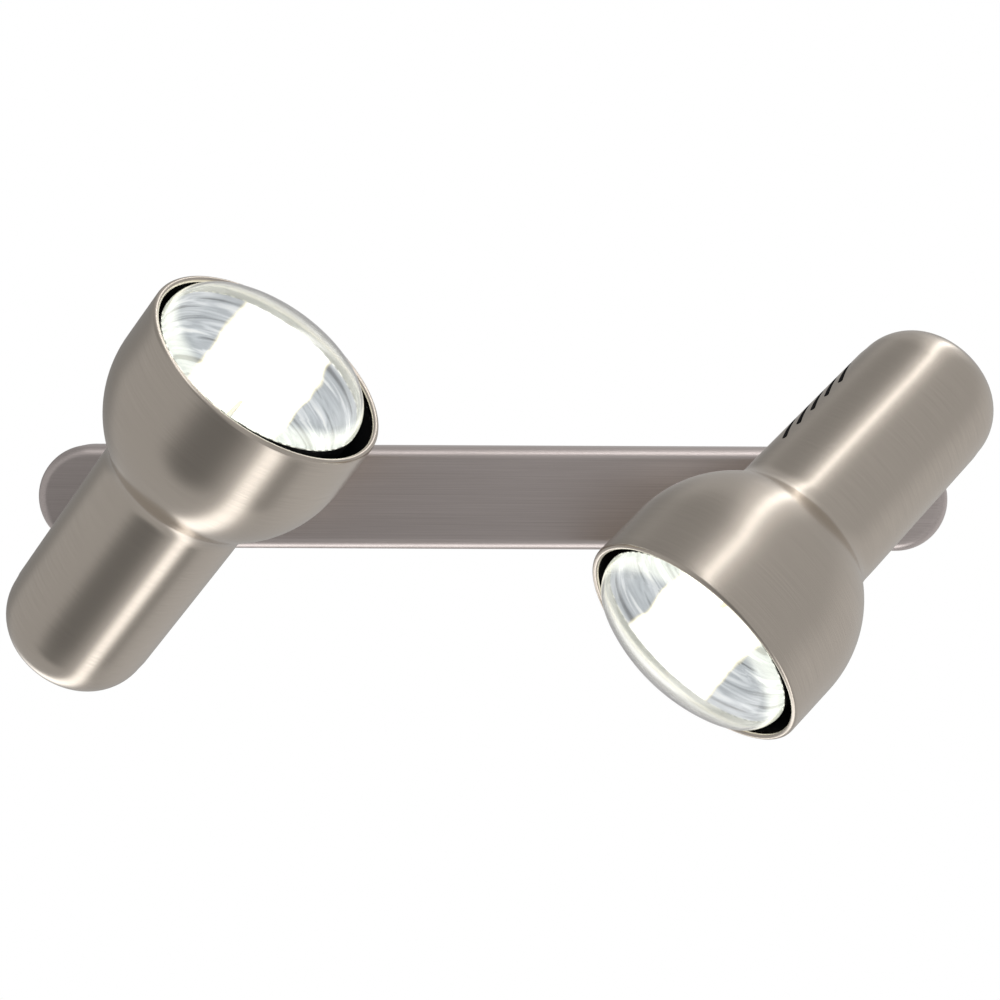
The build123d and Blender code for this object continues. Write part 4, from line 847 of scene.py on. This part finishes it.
# ---- Wall strap and what it carries
# A zinc plated steel strap for the wall screws and the earth screw, with a rubber grommet for the
# mains cable and a moulded block with brass terminals.
rubber = coated("black_rubber", (0.030, 0.030, 0.030), (0.018, 0.018, 0.018), 0.6, scale=900.0)
block_white = coated("block_white", (0.82, 0.82, 0.79), (0.75, 0.75, 0.72), 0.38, scale=500.0)
dress(zinc, "wall_strap", "terminal_screws")
welded("cable_grommet", rubber, "bar")
dress(block_white, "terminal_block")
dress(brass, "terminal_barrels")

# ---- Swivel fixings
# Each threaded nipple is locked in the bar by a nut over a toothed washer, and the drum runs on a
# nylon washer under a steel one.
dress(zinc, "swivel_nipples", "locknuts", "tooth_washers", "spring_washers")
dress(nylon, "friction_washers")

# ---- Screws
# Turned steel screws with low domed heads and one slot: nickel plated where they show, zinc inside.
screw_row = bpy.data.node_groups.new("screw_row", "GeometryNodeTree")
screw_row.interface.new_socket("Geometry", in_out="OUTPUT", socket_type="NodeSocketGeometry")
for label, kind, value in (
    ("Count", "NodeSocketInt", 1),
    ("Step", "NodeSocketVector", None), ("Turn", "NodeSocketVector", None),
    ("Head Radius", "NodeSocketFloat", 0.003), ("Head Height", "NodeSocketFloat", 0.002),
    ("Shank Radius", "NodeSocketFloat", 0.002), ("Length", "NodeSocketFloat", 0.005),
    ("Slot", "NodeSocketFloat", 0.0008), ("Metal", "NodeSocketMaterial", None),
):
    socket = screw_row.interface.new_socket(label, in_out="INPUT", socket_type=kind)
    if value is not None:
        socket.default_value = value
given = made(screw_row, "NodeGroupInput", {}).outputs


def sum_of(operation, first, second):
    """One sum on the screw's sizes."""
    return made(screw_row, "ShaderNodeMath", {0: first, 1: second}, operation=operation).outputs[0]


def vector(x, y, z):
    """A vector from three sizes of the screw."""
    return made(screw_row, "ShaderNodeCombineXYZ", {"X": x, "Y": y, "Z": z}).outputs["Vector"]


radius, height = given["Head Radius"], given["Head Height"]
wide = sum_of("MULTIPLY", radius, 3.0)
tall = sum_of("MULTIPLY", height, 2.0)
ball = made(screw_row, "GeometryNodeMeshUVSphere", {"Segments": 40, "Rings": 20, "Radius": 1.0})
dome = made(screw_row, "GeometryNodeTransform", {
    "Geometry": ball.outputs["Mesh"], "Scale": vector(radius, radius, height)})
under = made(screw_row, "GeometryNodeMeshCube", {"Size": vector(wide, wide, tall)}).outputs["Mesh"]
drop = sum_of("MULTIPLY", height, -1.0)
under_head = made(screw_row, "GeometryNodeTransform", {
    "Geometry": under, "Translation": vector(0.0, 0.0, drop)})
groove_box = made(screw_row, "GeometryNodeMeshCube", {"Size": vector(wide, given["Slot"], height)})
groove = made(screw_row, "GeometryNodeTransform", {
    "Geometry": groove_box.outputs["Mesh"], "Translation": vector(0.0, 0.0, height)})
head_form = made(screw_row, "GeometryNodeMeshBoolean", {
    0: dome.outputs[0], 1: under_head.outputs[0]}, operation="DIFFERENCE")
screw_row.links.new(groove.outputs[0], head_form.inputs[1])
into_head = sum_of("MULTIPLY", height, 0.3)
shank_length = sum_of("ADD", given["Length"], into_head)
shank = made(screw_row, "GeometryNodeMeshCylinder", {
    "Vertices": 28, "Radius": given["Shank Radius"], "Depth": shank_length}).outputs["Mesh"]
shank_middle = sum_of("MULTIPLY", sum_of("SUBTRACT", into_head, given["Length"]), 0.5)
shank_place = made(screw_row, "GeometryNodeTransform", {
    "Geometry": shank, "Translation": vector(0.0, 0.0, shank_middle)})
screw = made(screw_row, "GeometryNodeMeshBoolean", {1: head_form.outputs[0]}, operation="UNION")
screw_row.links.new(shank_place.outputs[0], screw.inputs[1])
places = made(screw_row, "GeometryNodeMeshLine", {"Count": given["Count"], "Offset": given["Step"]})
index = made(screw_row, "GeometryNodeInputIndex", {}).outputs[0]
turned = made(screw_row, "ShaderNodeVectorMath", {0: given["Turn"], "Scale": index}, operation="SCALE")
each = made(screw_row, "GeometryNodeInstanceOnPoints", {
    "Points": places.outputs["Mesh"], "Instance": screw.outputs[0], "Rotation": turned.outputs["Vector"]})
real = made(screw_row, "GeometryNodeRealizeInstances", {"Geometry": each.outputs["Instances"]}).outputs[0]
metal = made(screw_row, "GeometryNodeSetMaterial", {
    "Geometry": real, "Material": given["Metal"]}).outputs[0]
made(screw_row, "NodeGroupOutput", {"Geometry": metal})


def screws(node, body, metal, place, sizes,
           count=1, step=(0.0, 0.0, 0.0), turn=(0.0, 0.0, 0.0), groove=0.0008):
    """A row of screws that stands for a built one.

    Its sizes are head radius and height, then shank radius and length.
    """
    head_radius, head_height, shank_radius, length = sizes
    piece = grown(f"{node}_slotted", screw_row, {
        "Count": count, "Step": step, "Turn": turn,
        "Head Radius": head_radius, "Head Height": head_height,
        "Shank Radius": shank_radius, "Length": length, "Slot": groove, "Metal": metal})
    piece.data.transform(place)
    smooth(piece)
    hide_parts(node)
    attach(piece, body)


out_of_wall = Matrix.Rotation(pi / 2, 4, "X")
head_seat_z = 0.01977
side_place = Matrix.Translation((-side_screw_x, -side_screw_depth, head_seat_z))
screws("side_screws", "bar", nut_nickel, side_place,
       (0.0035, 0.0022, 0.0020, 0.0055), 2, (2 * side_screw_x, 0.0, -2 * head_seat_z), (0.0, pi, 0.0))
strap_front, block_front = -0.00152, -0.01052
earth_place = Matrix.Translation((-0.036, strap_front, 0.0)) @ out_of_wall
screws("earth_screw", "bar", brass, earth_place, (0.0040, 0.0024, 0.0020, 0.0015))
block_place = Matrix.Translation((0.0, block_front, -0.004)) @ out_of_wall
screws("block_screws", "bar", zinc, block_place,
       (0.0019, 0.0015, 0.0014, 0.0105), 2, (0.0, 0.008, 0.0), groove=0.0005)
toward_axis = Matrix(((0, 0, 1), (0, -1, 0), (1, 0, 0))).to_4x4()
toward_back = Matrix.Rotation(pi, 4, "X")
ear_reach = 0.00902
for name, (x, pan, tilt, lean, vent_side) in HEAD_PLACES.items():
    head = head_axes(x, pan, tilt)
    across_pin = Vector((0, -1, 0)).cross(Vector((cos(radians(pan)), 0, sin(radians(pan)))))
    ear_face = Vector((x, -pivot_depth, 0)) + across_pin * ear_reach
    along_pin = across_pin.to_track_quat("Z", "Y").to_matrix().to_4x4()
    screws(f"{name}_tilt_screw", f"{name}_arm", nut_nickel,
           Matrix.Translation(ear_face) @ along_pin, (0.0045, 0.0028, 0.0025, 0.0230), groove=0.0010)
    lug_place = head @ Matrix.Translation((-0.02618, 0, 0.0517)) @ toward_axis
    screws(f"{name}_lug_screws", f"{name}_head", zinc, lug_place,
           (0.0030, 0.0018, 0.00175, 0.00547), 2, (0.018, 0.0, -0.00026))
    holder_place = head @ Matrix.Translation((-0.011, 0, 0.03578)) @ toward_back
    screws(f"{name}_holder_screws", f"{name}_head", zinc, holder_place,
           (0.0028, 0.0016, 0.0015, 0.0082), 2, (0.022, 0.0, 0.0), groove=0.0006)

# ---- Leads
# Two silicone sleeved leads run from the block to each swivel, up through its nipple and drum, past
# the tilt screw and through the lug to the lampholder's terminals.
sleeve = coated("lead_sleeve", (0.78, 0.76, 0.70), (0.70, 0.68, 0.62), 0.5, scale=600.0)
for side in HEAD_PLACES:
    welded(f"{side}_bar_leads", sleeve, "bar", 60.0)
    welded(f"{side}_swivel_leads", sleeve, f"{side}_arm", 60.0)
    welded(f"{side}_head_leads", sleeve, f"{side}_head", 60.0)
